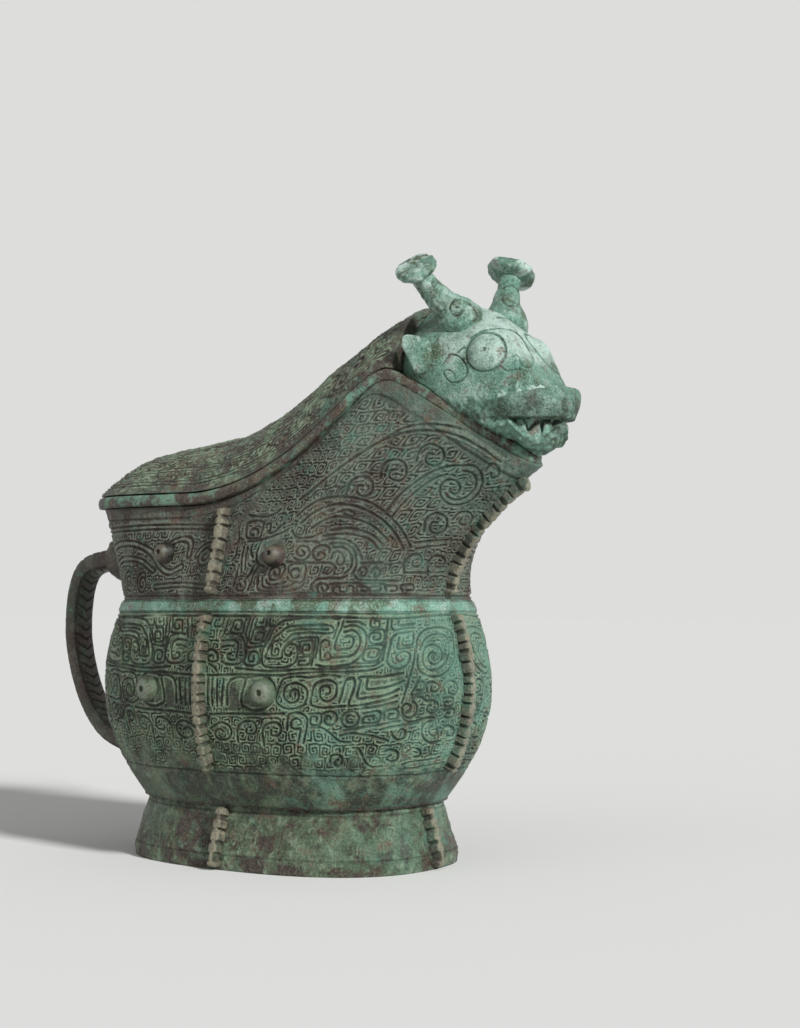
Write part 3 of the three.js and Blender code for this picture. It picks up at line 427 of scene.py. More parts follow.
def belly_drawing():
    """Drawn lines and plain pads of a belly quarter: a dragon over the row of the mask's eye, curls below."""
    crest = [
        (207, 616, 240, 616.5, 300, 616.8, 340, 617.5, 375, 618.8, 410, 617.5, 440, 615.5, 452, 614.5),
        (226, 634.5, 234, 634.2, 240, 636, 243, 640.5, 244, 648, 243.6, 656.5, 239, 663.5, 233, 665, 226,
         664, 221, 661),
        (221, 641, 228, 640.2, 234, 640.2, 237, 643, 237.6, 648, 236.4, 655, 234, 660, 228, 659, 227, 655,
         231, 653),
        (221, 647.5, 227, 646, 233, 646),
        (207, 651, 211, 649.5, 215, 651, 217.5, 655, 217, 660, 213, 662, 209, 660.5, 208.5, 656.5, 212,
         655.5),
        (209, 664, 213, 666.5, 217, 671),
        (246, 619, 243.5, 626, 242, 633, 230, 633, 232, 626.5, 234, 621, 241.5, 621, 240, 629, 234.5, 629,
         236, 625),
        (229, 619, 226, 626, 224, 633, 221, 638),
        (224, 618.8, 221, 626, 214, 626, 215.5, 621),
        (250, 618, 247.5, 626, 245.5, 634, 246, 640),
        (253, 618, 250.5, 627, 248, 637, 246, 646.6, 262, 646.6),
        (263.5, 629.5, 254.5, 629.5, 252, 637, 250, 643.3, 260.5, 643.3, 262, 637.5, 263, 633, 256.5, 633,
         255, 640, 259, 639.8),
        (270, 629, 267, 635, 264, 641.5),
        (257, 619, 255, 626.3, 265, 626.6, 266.5, 619.5),
        (259, 622.8, 262, 622.8, 263, 619.5),
        (270, 619.5, 269, 626, 274, 626),
        (246, 650, 245, 664.5, 256.5, 664.5, 257.2, 652.6, 249.5, 652.5, 248.6, 661, 253.3, 661, 253.6,
         656),
        (260.2, 649.5, 259.6, 664),
        (340, 618.9, 300, 618.9, 291, 619.7, 283, 621.5, 277, 625, 272.5, 631, 269, 638, 264.5, 646, 262,
         653, 261.5, 660, 263, 665, 267, 667, 276, 667.8, 286, 667.3, 292, 665, 295.5, 660.5, 297.5, 654,
         297.6, 649, 295.5, 645.5, 290.5, 644.5, 286.5, 646.5, 284.5, 651, 286, 655, 289.5, 655.5, 291,
         652.5),
        (279, 634.5, 283, 630, 289, 627, 297, 625.8, 310, 625.5, 327, 625.5, 332, 627, 333.4, 630, 332,
         633, 326, 633.5, 310, 633.1, 300, 633.4, 293, 634.6, 288, 637.5, 284.5, 641.5),
        (287, 632, 293, 630.2, 302, 629.4, 328, 629.3),
        (279, 634.5, 274.5, 637.5, 270.5, 645, 267, 652, 265.5, 658.3, 273, 658.6, 281, 658.4, 282, 652,
         284.5, 647.5, 288.5, 643.5, 293, 640.5, 300, 638.4, 309, 637.6, 318, 638),
        (278, 641, 273.6, 643.5, 271.5, 655, 277.4, 655.2, 278.6, 649.4, 275.4, 649.4, 274.6, 652.4),
        (299.5, 653.8, 300, 642.6, 306, 641.4, 312, 641.2, 311.6, 653.4, 303, 654, 303, 645.6, 308.8, 645,
         308.6, 650.2, 305.6, 650.4),
        (314.6, 640, 314, 648, 312.5, 657, 311, 665.5),
        (317.8, 640.5, 316.4, 650, 314.8, 658),
        (299.5, 657.4, 309.6, 657, 308.6, 664.6, 298, 665.4, 299.6, 661, 305, 660.6),
        (329, 645, 328.4, 641.8, 325, 640.6, 321.5, 642.5, 319.8, 648, 319.6, 655, 320.3, 659.8, 325,
         660.6, 329, 659.6, 330.3, 656, 328.3, 652.6, 325, 653.4, 324, 656.6),
        (343.5, 621.5, 340.5, 629, 337, 639, 334.5, 649.6, 341, 649.4, 348.5, 648.4, 352.6, 644.5, 353,
         639, 349.5, 636.5, 344.5, 636.8),
        (338.6, 622.6, 336.2, 630, 333.4, 639),
        (344.5, 632.4, 351.5, 630.8, 357, 632.6, 359.8, 637.5, 359.8, 645, 356.8, 651.5, 350, 655.8, 342,
         657.3, 331, 657.6),
        (344.6, 627, 352, 625.6, 359, 626.8, 364, 630.8, 366.4, 637.5, 365.8, 646, 361.8, 653.5, 357,
         659.5, 351.5, 664, 342, 666, 325, 666.6, 316, 664.8),
        (347, 622, 358, 622.2, 365, 625.4),
        (356.5, 663.6, 370, 663, 379, 661.8),
        (235, 668.2, 262, 671, 285, 671, 302, 669.6, 320, 669, 340, 668.8, 356, 667.4, 372, 666.4, 379,
         663.6),
        (207, 675.4, 240, 674.6, 258, 675, 280, 675.2, 292, 674, 310, 673, 330, 672.3, 347, 671.6, 360,
         670.8, 374, 669.2, 383, 665),
        (371, 620.4, 371, 627, 379, 627, 379, 620.8, 374.6, 621, 374.6, 624),
        (369.5, 630.6, 383, 630, 382.2, 642.5, 370, 642.8, 370.2, 634, 379.5, 633.4, 379, 639.5, 373.4,
         639.8, 373.6, 636.6),
        (368, 646.2, 382.6, 645.4, 380.8, 653, 377, 660.2, 363, 660.6, 366, 649.6, 378.6, 649, 375.4,
         656.8, 368.4, 657.2, 369.6, 653),
        (387.6, 620.6, 386.4, 634, 384.4, 648, 381.6, 661),
        (391.6, 620, 391.4, 626.4, 394.6, 630.4, 402, 628.8, 415, 627.4),
        (399, 620.6, 398.4, 625.4, 408, 624.4, 415, 623.6),
        (397, 634, 391.5, 639, 390.2, 646, 388.2, 654, 387, 661, 389.8, 666, 395, 668.4, 401, 668, 406.5,
         664.6, 409.8, 659, 410, 654.4, 406, 651.6, 400.4, 652.6, 396.4, 656.4, 397, 660.4, 400.6, 661.4,
         403.4, 658.8),
        (397, 634, 404, 632.4, 413, 631.4, 413.4, 638.5, 412, 644.4, 402.4, 645.2, 403.4, 638.6),
        (399.6, 637.4, 397.6, 648.6, 405, 648.4, 414, 646.8),
        (416.6, 648, 417.4, 640, 420.5, 633, 427, 629.3, 436, 627.8, 445, 628.2, 450.6, 631.5, 453.2, 638,
         454.5, 648, 455.2, 655, 453.6, 662, 449, 669.4, 442, 674.8, 434, 676.8, 426, 675.4, 419.8, 670.6,
         417.2, 663, 417.8, 655),
        (420.4, 649, 424.5, 640, 430, 635.4, 438, 634, 445.4, 636, 448.8, 643, 449.2, 652, 446.8, 660.5,
         441, 667.6, 434, 670.4, 427.6, 669.2, 423.2, 663, 422.6, 655.4, 426, 647.6, 433, 644.4, 439.6,
         647.4, 442.6, 654, 440.6, 661, 435, 664, 429.6, 661.6, 428.6, 656.4, 432, 652, 436, 654.6),
        (453.6, 616, 456, 628, 458.4, 644, 460.2, 662, 461.3, 682, 461.6, 702, 461, 722, 459.6, 740, 457,
         758),
    ]
    eye = [
        (208, 678, 207.5, 690, 208, 704),
        (212.5, 679, 212, 690, 212.5, 705),
        (217.5, 680, 217, 694, 217, 706),
        (223.5, 679, 222.5, 692, 222, 706),
        (227, 704, 226.6, 690, 229, 682, 233, 678.6, 240, 677.4, 245, 680, 242.6, 690, 241, 700, 243, 707),
        (246, 678.4, 256, 675.8, 266, 676.6, 272, 681, 274.8, 689, 274, 697, 270.4, 704, 262, 709.6, 252,
         710, 244, 706.6),
        (300, 676.6, 290, 677.4, 283, 680, 279, 687, 276.4, 695, 276.2, 702, 280, 706, 286, 708.4, 293,
         709, 300, 707.6, 306, 704.4),
        (304.5, 703.8, 307.4, 697, 306.6, 689.4, 301.4, 684.6, 294, 683, 287.4, 685.2, 283.8, 690.6, 284,
         696.8, 287, 701.2, 292, 702.6, 297, 700.6, 299, 695.6, 297.4, 691, 293.4, 689.6, 290, 692, 290.6,
         696),
        (300, 676.6, 309, 677.4, 318, 676.4, 330, 675.4, 340, 676.6),
        (346, 705.8, 336, 706.8, 328, 707.4, 320, 707.2, 313, 706, 310.4, 702, 311.5, 696.5, 312.8, 690,
         315.6, 684.4, 320, 681.6, 327, 680.6, 333, 681.8, 336.4, 685.6, 336.6, 691, 334.4, 697, 330,
         700.8, 324.4, 701.2, 320.2, 697.8, 319.4, 692, 321.6, 687.4, 326, 686, 329.8, 688.4, 330, 692.6,
         326.6, 694.4),
        (339, 702, 341.4, 694, 343.4, 687, 346, 680.4, 350, 678.4, 354, 679, 354.6, 684, 352.6, 692, 349.4,
         700.6, 348.4, 706.4),
        (358.6, 679.4, 360.5, 677, 380, 676.6, 392, 675.4, 403, 673.2),
        (367, 679.6, 367, 688.4, 378, 688.4, 388, 686.6, 396, 683.8, 404, 680.4),
        (360.6, 680, 357.6, 697.6, 366, 698.2, 377, 696.8, 388, 694.2, 399, 689.4),
        (350, 706.4, 362, 705.2, 374, 702.8, 386, 699.8, 397.4, 695.6),
        (348.6, 710, 362, 709, 376, 707, 388, 704.4, 396.6, 701.8),
        (415, 650, 413.4, 662, 410.4, 676, 406, 690, 401.6, 703),
        (419.6, 677, 416.4, 685, 411, 694.6, 421, 693.6),
        (414.6, 690.4, 417.6, 682.6, 424, 682, 423.6, 689.6, 417.6, 690.2),
        (427, 691.6, 426.4, 683.6, 434, 682.4, 438.6, 686.4, 436, 691.4, 431.6, 690.4, 431.6, 687),
        (445.6, 694, 443.4, 688, 445.6, 682.6, 451, 680.4, 456, 683.4, 457.4, 689, 454.6, 694, 450, 693.4,
         448.6, 689, 451.4, 686.8),
        (412, 698, 421, 697, 426.6, 700.6, 433, 700.4, 437.6, 704.4, 437, 710.6, 432.4, 713.6, 427.6,
         711.4, 427, 707, 431, 705.4),
        (412.6, 701, 416.6, 706, 415.6, 713.6, 410.6, 718, 404.6, 717, 401.8, 711.6, 403, 705.6, 407.4,
         703.6, 410.8, 706.8, 409.4, 711),
        (443, 698, 452, 698, 452, 706, 444.6, 706.4, 445, 702, 448.4, 701.8),
        (443.6, 710, 453.6, 709, 453, 717, 445.6, 717.6, 446.4, 713.4, 449.8, 713),
    ]
    jaw = [
        (210, 714, 240, 713.6, 262, 714.4, 284, 713.4),
        (287.4, 730, 287.8, 717, 291, 713.8, 297, 713, 303.4, 714.6, 306.6, 719, 306.8, 726, 305.4, 735,
         303, 743),
        (298, 743, 299.6, 735, 300, 729, 295.6, 729.4, 291, 727, 291.6, 721, 295.4, 718.8, 299.6, 720, 301,
         723.6, 298, 725.6),
        (309.4, 714.2, 320, 714, 319.6, 724.4, 310.6, 724.6, 311, 717.6, 316.4, 717.4, 316.2, 721.4),
        (322.4, 714.6, 326, 712.4, 331, 712, 335.8, 715, 336.2, 720.6, 332.4, 725, 327.2, 725.2, 324.2,
         721.4, 325.6, 717, 329.6, 716.6, 331, 719.6),
        (358.8, 717.4, 356, 712.8, 349.4, 711.8, 344, 714, 341.4, 719.4, 343.4, 725, 349.4, 727.6, 356.4,
         725.4, 358.8, 717.4),
        (354, 716.6, 349.4, 715.4, 346, 718.6, 347.6, 722.6, 352, 722.4),
        (311, 728.4, 320, 727.6, 327, 731.6, 334, 737, 340, 741.6, 350, 742),
        (363, 713.6, 379.4, 711.6, 378.6, 721.6, 364, 723.6, 364.4, 717.4, 373.4, 716.2, 373.2, 719.4),
        (384, 720, 384.6, 712, 396.8, 709.6, 397.2, 718.4, 388.4, 720, 388.6, 714.6, 393, 713.8),
        (344, 731, 362, 727.6, 376, 726, 388, 723.2, 400, 721),
        (402, 716.4, 405.6, 721.4, 411, 722.6, 420, 719.6, 429, 717.4, 436, 718.8),
        (380, 730, 392, 727, 404, 725.6, 418, 722.8),
        (391, 731.8, 393.4, 737, 398.6, 739.6, 404, 737, 405.4, 731.6, 401.4, 729.6, 397.6, 732.4),
        (434, 721.4, 428, 722, 423.4, 725, 421.8, 731, 423, 737.6, 427.4, 741.8, 434, 742.8, 441, 740.6),
        (433, 726, 429.6, 728.4, 429, 733, 432.6, 736, 437, 733.6, 437.4, 728),
        (441, 735, 442.4, 729.6, 446.6, 726.4, 451.6, 727, 454.6, 731.4, 452.4, 736, 447.6, 736, 446.8,
         732),
        (210, 728, 220, 722.6, 229, 725, 231.6, 733, 226.4, 739.4, 218, 738.6, 214.6, 732.6, 219.4, 728.4,
         224.4, 731),
        (238, 742, 237, 730, 242, 723, 252, 721.6, 256.4, 727, 253.4, 733.4, 247, 733.4, 246.4, 729),
        (264, 745, 263, 730, 268, 723.4, 277, 722.8, 281, 728.6, 278, 735, 271.6, 735, 271.4, 730.6),
        (330, 762, 331, 756.4, 336, 754, 341.4, 756.6, 341.6, 763.4, 337, 767, 334.6, 762.6, 338, 760),
        (352, 748, 358.6, 749, 362.6, 755.6, 366, 763, 372.6, 767, 381, 766.6),
        (384, 752, 391, 749.4, 397, 752.6, 396.4, 759.6, 390.4, 762, 386.6, 758.6, 390.4, 755.6),
        (402, 764, 414, 761.4, 428, 759.4, 440, 757),
        (404, 769.4, 418, 767, 432, 764.4, 444, 762),
        (406, 752, 412, 748, 419.4, 750.4, 419.4, 755.6, 413, 756.4),
        (340, 736, 352, 733.6, 364, 734.8, 376, 737.6, 388, 741),
    ]
    pads = [
        (1.5, 372, 683.6, 390, 681.6, 402, 677.6),
        (1.5, 362, 692.8, 376, 692.6, 398, 686.6),
        (1.4, 354, 701.6, 372, 700, 396, 692.8),
        (1.8, 349, 684, 346, 696, 343, 704),
        (3.4, 236, 685, 233, 696, 232, 703),
        (7.4, 258, 688, 257, 694),
        (1.6, 310, 681, 309, 690, 309, 699),
        (1.2, 300, 622.4, 338, 622.4),
        (1.2, 318, 663, 348, 662, 360, 655),
    ]
    return [(0, *stroke) for stroke in crest + eye + jaw], pads


def neck_drawing():
    """Drawn lines and plain pads of the fore neck: the dragon's eye and curls, a sweeping crest."""
    head = [
        (250, 593.8, 280, 593.8, 306, 593.6, 330, 594, 360, 594.4, 400, 594, 440, 592.6),
        (258, 575.6, 257.2, 583, 258, 589, 262, 591, 272, 591, 290, 590.2, 300, 588, 304, 583),
        (262.6, 578, 262, 584, 264.4, 587.6, 270, 588.4, 280, 588, 288, 586.2, 294, 582.6),
        (265.6, 580.6, 267.6, 583.6, 273, 584.6, 281, 583.8, 286, 581.6),
        (279, 564.4, 284, 565, 284.6, 570, 281, 576, 276, 579.4, 270.6, 579.4, 268.8, 575.4, 270.4, 570,
         275.4, 567.4, 279.6, 569.4, 278.8, 573.8, 275, 575.4, 274, 572),
        (288.4, 573, 288.6, 567, 292.4, 564.6, 298, 563.8, 303.6, 564.4, 305.6, 569, 304, 577, 300.6, 582,
         296, 581.6, 289.6, 580.4, 287, 577),
        (299.4, 571.4, 296.4, 568.6, 292.4, 569.6, 290.8, 573.6, 292.4, 577.4, 296.6, 578, 299, 575.4),
        (286, 561.6, 296, 562.6, 310, 562.6, 325, 562.8, 332, 564, 336, 568),
        (293.6, 557.4, 299, 560.2, 305, 559.4, 309.6, 555.4, 309.6, 550.4, 305.8, 547, 300, 546.6, 296.4,
         550.4, 297.4, 555, 301.4, 556.4, 304.4, 553.8, 302.6, 551),
        (329.4, 553, 328.8, 547.6, 324, 545, 318, 546.2, 313.6, 549.6, 312.4, 554.6, 313.6, 558.2, 317,
         560, 322, 559.2, 325, 556, 323, 552.4, 319.6, 551.8, 317.8, 554.6),
        (331, 558.6, 332.6, 553.8, 337, 551.8, 342, 554, 343.8, 559.6, 341, 565, 336.6, 562.4, 338, 558),
        (333.6, 547.6, 342, 547.6, 348.4, 551.4, 351.6, 558.6, 350.4, 567.4, 345, 573),
        (330, 543.6, 337, 542.6, 346, 544, 352.6, 549, 356, 556.6, 355.6, 566.4, 351.6, 574),
        (322, 540.6, 332, 539, 345, 540, 354.6, 545, 360, 552.6, 361.4, 560),
        (361.4, 563, 370, 562.6, 382, 563),
        (354, 575, 357, 579, 364, 580.6, 380, 581, 398, 581.4),
        (358.6, 571, 362.4, 567.4, 366.4, 570.6, 364.8, 575.4, 360.8, 575.6, 361.8, 572),
        (371, 572.6, 374.4, 568, 379.4, 570.6, 378.4, 576, 374, 577, 375, 573),
        (313, 592, 310.6, 587.6, 312.4, 582.6, 317, 579.6, 323, 579, 330, 578.2, 340, 578, 347, 576),
        (318.4, 592, 316.4, 588.6, 318.6, 584.8, 323.6, 583.8, 327.6, 587, 326, 591, 322, 590.8, 321.8,
         587.6),
        (330, 583.8, 345, 583.4, 360, 583.8, 384, 584.4),
        (332.6, 591.4, 333.4, 587, 339.4, 586.6, 340, 591.4, 346.4, 591.6, 346.8, 586.8, 352.6, 586.8,
         353.4, 591.4),
        (357, 591.6, 356.6, 587, 366.4, 586.8, 366.2, 591, 360.6, 591.2),
        (370, 591.6, 369.8, 587, 380, 586.8, 379.6, 591, 374, 591.2),
        (386, 591.4, 385.4, 586.6, 396, 586.2, 396.4, 590.6, 390.6, 591),
        (402, 590.8, 401, 585.8, 412, 585, 412.6, 589.6, 406.6, 590),
        (244.4, 581, 245.4, 585.4, 243, 589.8, 239, 591, 236, 589, 236.2, 585, 239.4, 584.4, 240.8, 587),
        (259, 565, 254.6, 573, 251, 582, 248, 590),
        (254, 566, 250.6, 573, 246.4, 578.6),
        (239, 565, 236, 576, 233, 586),
        (244, 547, 242, 560, 241, 573),
        (248, 547, 246, 558, 245, 570),
        (262, 540.6, 260, 545, 257.4, 551, 256.6, 557.6, 258, 563, 264, 566),
        (252, 544.6, 251, 552, 252.6, 558),
        (247, 523.4, 246.6, 537, 252, 539, 260, 537.4, 262.6, 528, 263, 522.6, 256, 521, 247, 523.4),
        (257.8, 534.6, 258, 530.6, 254, 528.4, 250.4, 530.4, 250.4, 534.4, 254, 535.4),
        (267, 524, 271, 524, 270.4, 530, 266.4, 532.4, 271, 533, 276, 531.2, 279, 527.2, 285, 523),
        (248, 542, 256, 541.4, 263, 539, 269, 537.6, 275, 535.4, 282, 533, 289, 529),
        (231, 524, 236, 517, 246, 515, 256, 516.4, 266, 516.6, 274, 514, 281, 509),
        (233, 545, 238, 541, 238.6, 532, 236, 527),
        (232, 560, 236, 555, 237, 548),
        (291.4, 531, 294.4, 535.6, 299, 537.8, 307, 538, 314, 536.4, 322, 532.6),
        (297, 541.2, 310, 541, 320, 543),
    ]
    crest = [
        (322, 535.6, 340, 533.8, 356, 535, 370, 540, 378, 549),
        (330, 530, 346, 528.6, 360, 530.6, 374, 536, 383, 546),
        (312, 528, 322, 521, 334, 517, 348, 517.4, 362, 521.6, 376, 529, 388, 541),
        (300, 524, 310, 515, 322, 508, 336, 504.6, 352, 505.6, 368, 511, 383, 521, 396, 535, 404, 550),
        (296, 517, 307, 507.4, 320, 500, 336, 496.6, 354, 498, 372, 504, 388, 515, 402, 530, 411, 547),
        (338, 512, 346, 510.6, 354, 512.6, 352, 516.4, 344, 514.6),
        (404, 573, 404.6, 563, 410, 556, 418, 555, 422, 560, 419, 566, 412.6, 566, 412.6, 561.6),
        (428, 575, 428, 564, 433, 557, 441, 556, 445, 561, 442, 567, 436, 567, 436, 563),
        (416, 549, 430, 546.6, 446, 545),
        (414, 543, 430, 541, 448, 539.6),
        (462, 466, 472, 466, 480, 473, 482, 483, 478, 493, 470, 501, 460, 505, 449, 504, 441, 497, 440,
         487, 447, 480, 456, 481, 460, 488, 456, 494, 450, 492, 450, 488),
        (463, 471.6, 470, 472, 475, 477, 476.4, 484, 473, 491, 466, 497, 457, 500, 449, 498.4, 445.4, 493),
        (386, 512, 398, 497, 414, 483, 432, 472, 450, 466, 462, 466),
        (391, 518, 403, 503, 418, 489, 435, 478.6, 447, 474),
        (300, 500, 322, 482, 346, 463, 372, 446, 400, 434, 430, 430, 458, 436, 482, 449, 500, 462),
        (308, 494, 330, 476, 354, 458, 378, 443, 404, 428, 432, 424, 462, 430, 488, 444, 506, 457),
        (346, 494, 350, 482, 360, 476, 370, 480, 372, 490, 365, 496, 357, 493, 358, 486, 364, 486),
        (380, 478, 383, 465, 393, 459, 404, 463, 406, 474, 399, 481, 390, 478, 391, 470, 397, 469),
        (416, 462, 420, 449, 431, 444, 442, 449, 443, 459, 435, 466, 426, 462, 428, 454, 434, 454),
        (452, 520, 459, 513, 468, 512, 472, 518, 467, 525, 459, 523, 461, 518),
        (424, 531, 426, 519, 436, 513, 446, 518, 446, 528, 438, 534, 430, 530, 432, 523, 438, 523),
        (486, 470, 492, 464, 499, 468, 498, 476, 491, 478, 491, 473),
        (404, 573, 420, 572.6, 444, 572.4),
    ]
    pads = [
        (6.4, 272, 552, 272, 556),
        (1.3, 304, 520, 330, 507, 360, 508, 390, 526),
    ]
    return [(0, *stroke) for stroke in head + crest], pads


def rear_strands():
    """Dragon of the rear neck, v in millimetres over the shoulder band."""
    return [
        (bent((20, 17), (22.4, 22), (27, 23.4), (32, 21.6), (34.4, 16.6)), 1.0),
        (bent((22, 12.6), (28, 10.6), (34, 12.8), (42, 19), (54, 22.4), (68, 21), (80, 16)), 1.1),
        (bent((38, 11.4), (48, 15.6), (60, 16.2), (72, 13.4)), 1.0),
        (spiral(85.4, 12.4, 4.4, 1.9, 1.2, -1), 1.0),
        (spiral(11, 17, 4.6, 1.9, 0, 1), 1.05),
        (spiral(45, 6.4, 3.6, 1.7, 2, -1), 0.95),
        (spiral(57, 7.0, 3.6, 1.7, 2, -1), 0.95),
        (bent((6, 5), (20, 5.6), (36, 5)), 0.85),
        (bent((6, 27.4), (40, 28.4), (80, 27.6), (104, 26.6)), 0.85),
        (spiral(100, 16, 4.6, 1.9, 1.2, -1), 1.05),
    ]


# Meshes

def raised(grid, height):
    """Moves a grid of points along its own normals; columns turn with the angle and rows climb."""
    normal = unit(np.cross(np.gradient(grid, axis=1), np.gradient(grid, axis=0)))
    return grid + normal * height[..., None]


def tipped(grid):
    """The grid with a row drawn to a point before its first row and after its last, which closes it."""
    first, last = (row.mean(1, keepdims=True) + 0 * row for row in (grid[:1], grid[-1:]))
    return np.concatenate([first, grid, last])


def enclosed(points, faces):
    """Volume that faces enclose, summed as pyramids from the origin; negative where they look inward."""
    fans = [f[:, [0, k, k + 1]] for f in faces for k in range(1, f.shape[1] - 1)]
    a, b, c = np.moveaxis(points[np.concatenate(fans)], 1, 0)
    return (a * np.cross(b, c)).sum() / 6


def cast(name, grid, look, body, nodes, shade=None, loops=ROWS):
    """Lays a grid of points down as a piece: quads between neighbours, meeting points joined, ends closed.

    loops says which of rows and columns run round. The shade, painted shade in hollows and painted highlights
    on crests, is kept on the points for the finish to read.
    Faces that come out looking inward are turned round.
    """
    loop_rows, loop_cols = loops
    rows, cols = grid.shape[:2]
    index = np.arange(rows * cols).reshape(rows, cols)
    down = np.vstack([index, index[:1]]) if loop_rows else index
    down = np.hstack([down, down[:, :1]]) if loop_cols else down
    quads = np.stack([down[:-1, :-1], down[:-1, 1:], down[1:, 1:], down[1:, :-1]], -1).reshape(-1, 4)
    points = grid.reshape(-1, 3) * MM
    keys = np.round(points * JOIN_SCALE).astype(np.int64)
    _, first, back = np.unique(keys, axis=0, return_index=True, return_inverse=True)
    back = back.ravel()
    quads = back[quads]
    same = quads == np.roll(quads, -1, 1)
    whole = quads[same.sum(1) == 0]
    thirds = quads[same.sum(1) == 1][~same[same.sum(1) == 1]].reshape(-1, 3)
    ends = []
    if loop_rows and not loop_cols:
        for edge in (back[index[:, 0]], back[index[::-1, -1]]):
            edge = edge[edge != np.roll(edge, 1)]
            if len(np.unique(edge)) == len(edge) > 2:
                ends.append(edge)
    if enclosed(points[first], [whole, thirds, *(e[None] for e in ends)]) < 0:
        whole, thirds, ends = whole[:, ::-1], thirds[:, ::-1], [e[::-1] for e in ends]
    counts = [np.full(len(whole), 4), np.full(len(thirds), 3), [len(e) for e in ends]]
    counts = np.concatenate(counts).astype(np.int32)
    corners = np.concatenate([whole.ravel(), thirds.ravel(), *ends]).astype(np.int32)
    mesh = bpy.data.meshes.new(name)
    mesh.vertices.add(len(first))
    mesh.vertices.foreach_set("co", points[first].astype(np.float32).ravel())
    mesh.loops.add(len(corners))
    mesh.loops.foreach_set("vertex_index", corners)
    mesh.polygons.add(len(counts))
    starts = np.concatenate([[0], np.cumsum(counts)[:-1]])
    mesh.polygons.foreach_set("loop_start", starts.astype(np.int32))
    mesh.polygons.foreach_set("use_smooth", counts < 5)
    mesh.update(calc_edges=True)
    mesh.validate()
    if shade is not None:
        relief = mesh.attributes.new("relief", "FLOAT", "POINT")
        relief.data.foreach_set("value", shade.reshape(-1)[first].astype(np.float32))
    mesh.materials.append(finish(look))
    piece = bpy.data.objects.new(name, mesh)
    bpy.context.scene.collection.objects.link(piece)
    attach(piece, body)
    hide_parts(*nodes)


def turned(profile, count, root, way):
    """Turns a profile (radius, height) about an axis: rows follow the profile, columns the turn."""
    way = np.asarray(way, float) / np.linalg.norm(way)
    side = np.cross(way, (0.31, 0.2, 0.93))
    side /= np.linalg.norm(side)
    other = np.cross(way, side)
    turn = around(count)
    ring = np.cos(turn)[:, None] * side + np.sin(turn)[:, None] * other
    profile = np.asarray(profile, float)
    return np.asarray(root, float) + profile[:, :1, None] * ring + profile[:, 1:, None] * way


def swept(path, radius, count):
    """Rings of given radii square to a path; the first and last rings are drawn to a point."""
    step = np.gradient(path, axis=0)
    step /= np.linalg.norm(step, axis=1, keepdims=True)
    side = np.cross(step, (0.2, 0.1, 0.97))
    side /= np.linalg.norm(side, axis=1, keepdims=True)
    other = np.cross(step, side)
    turn = around(count)[None, :, None]
    ring = np.cos(turn) * side[:, None] + np.sin(turn) * other[:, None]
    grid = path[:, None] + radius[:, None, None] * ring
    return np.concatenate([path[:1, None] + 0 * grid[:1], grid, path[-1:, None] + 0 * grid[:1]])


# Patina

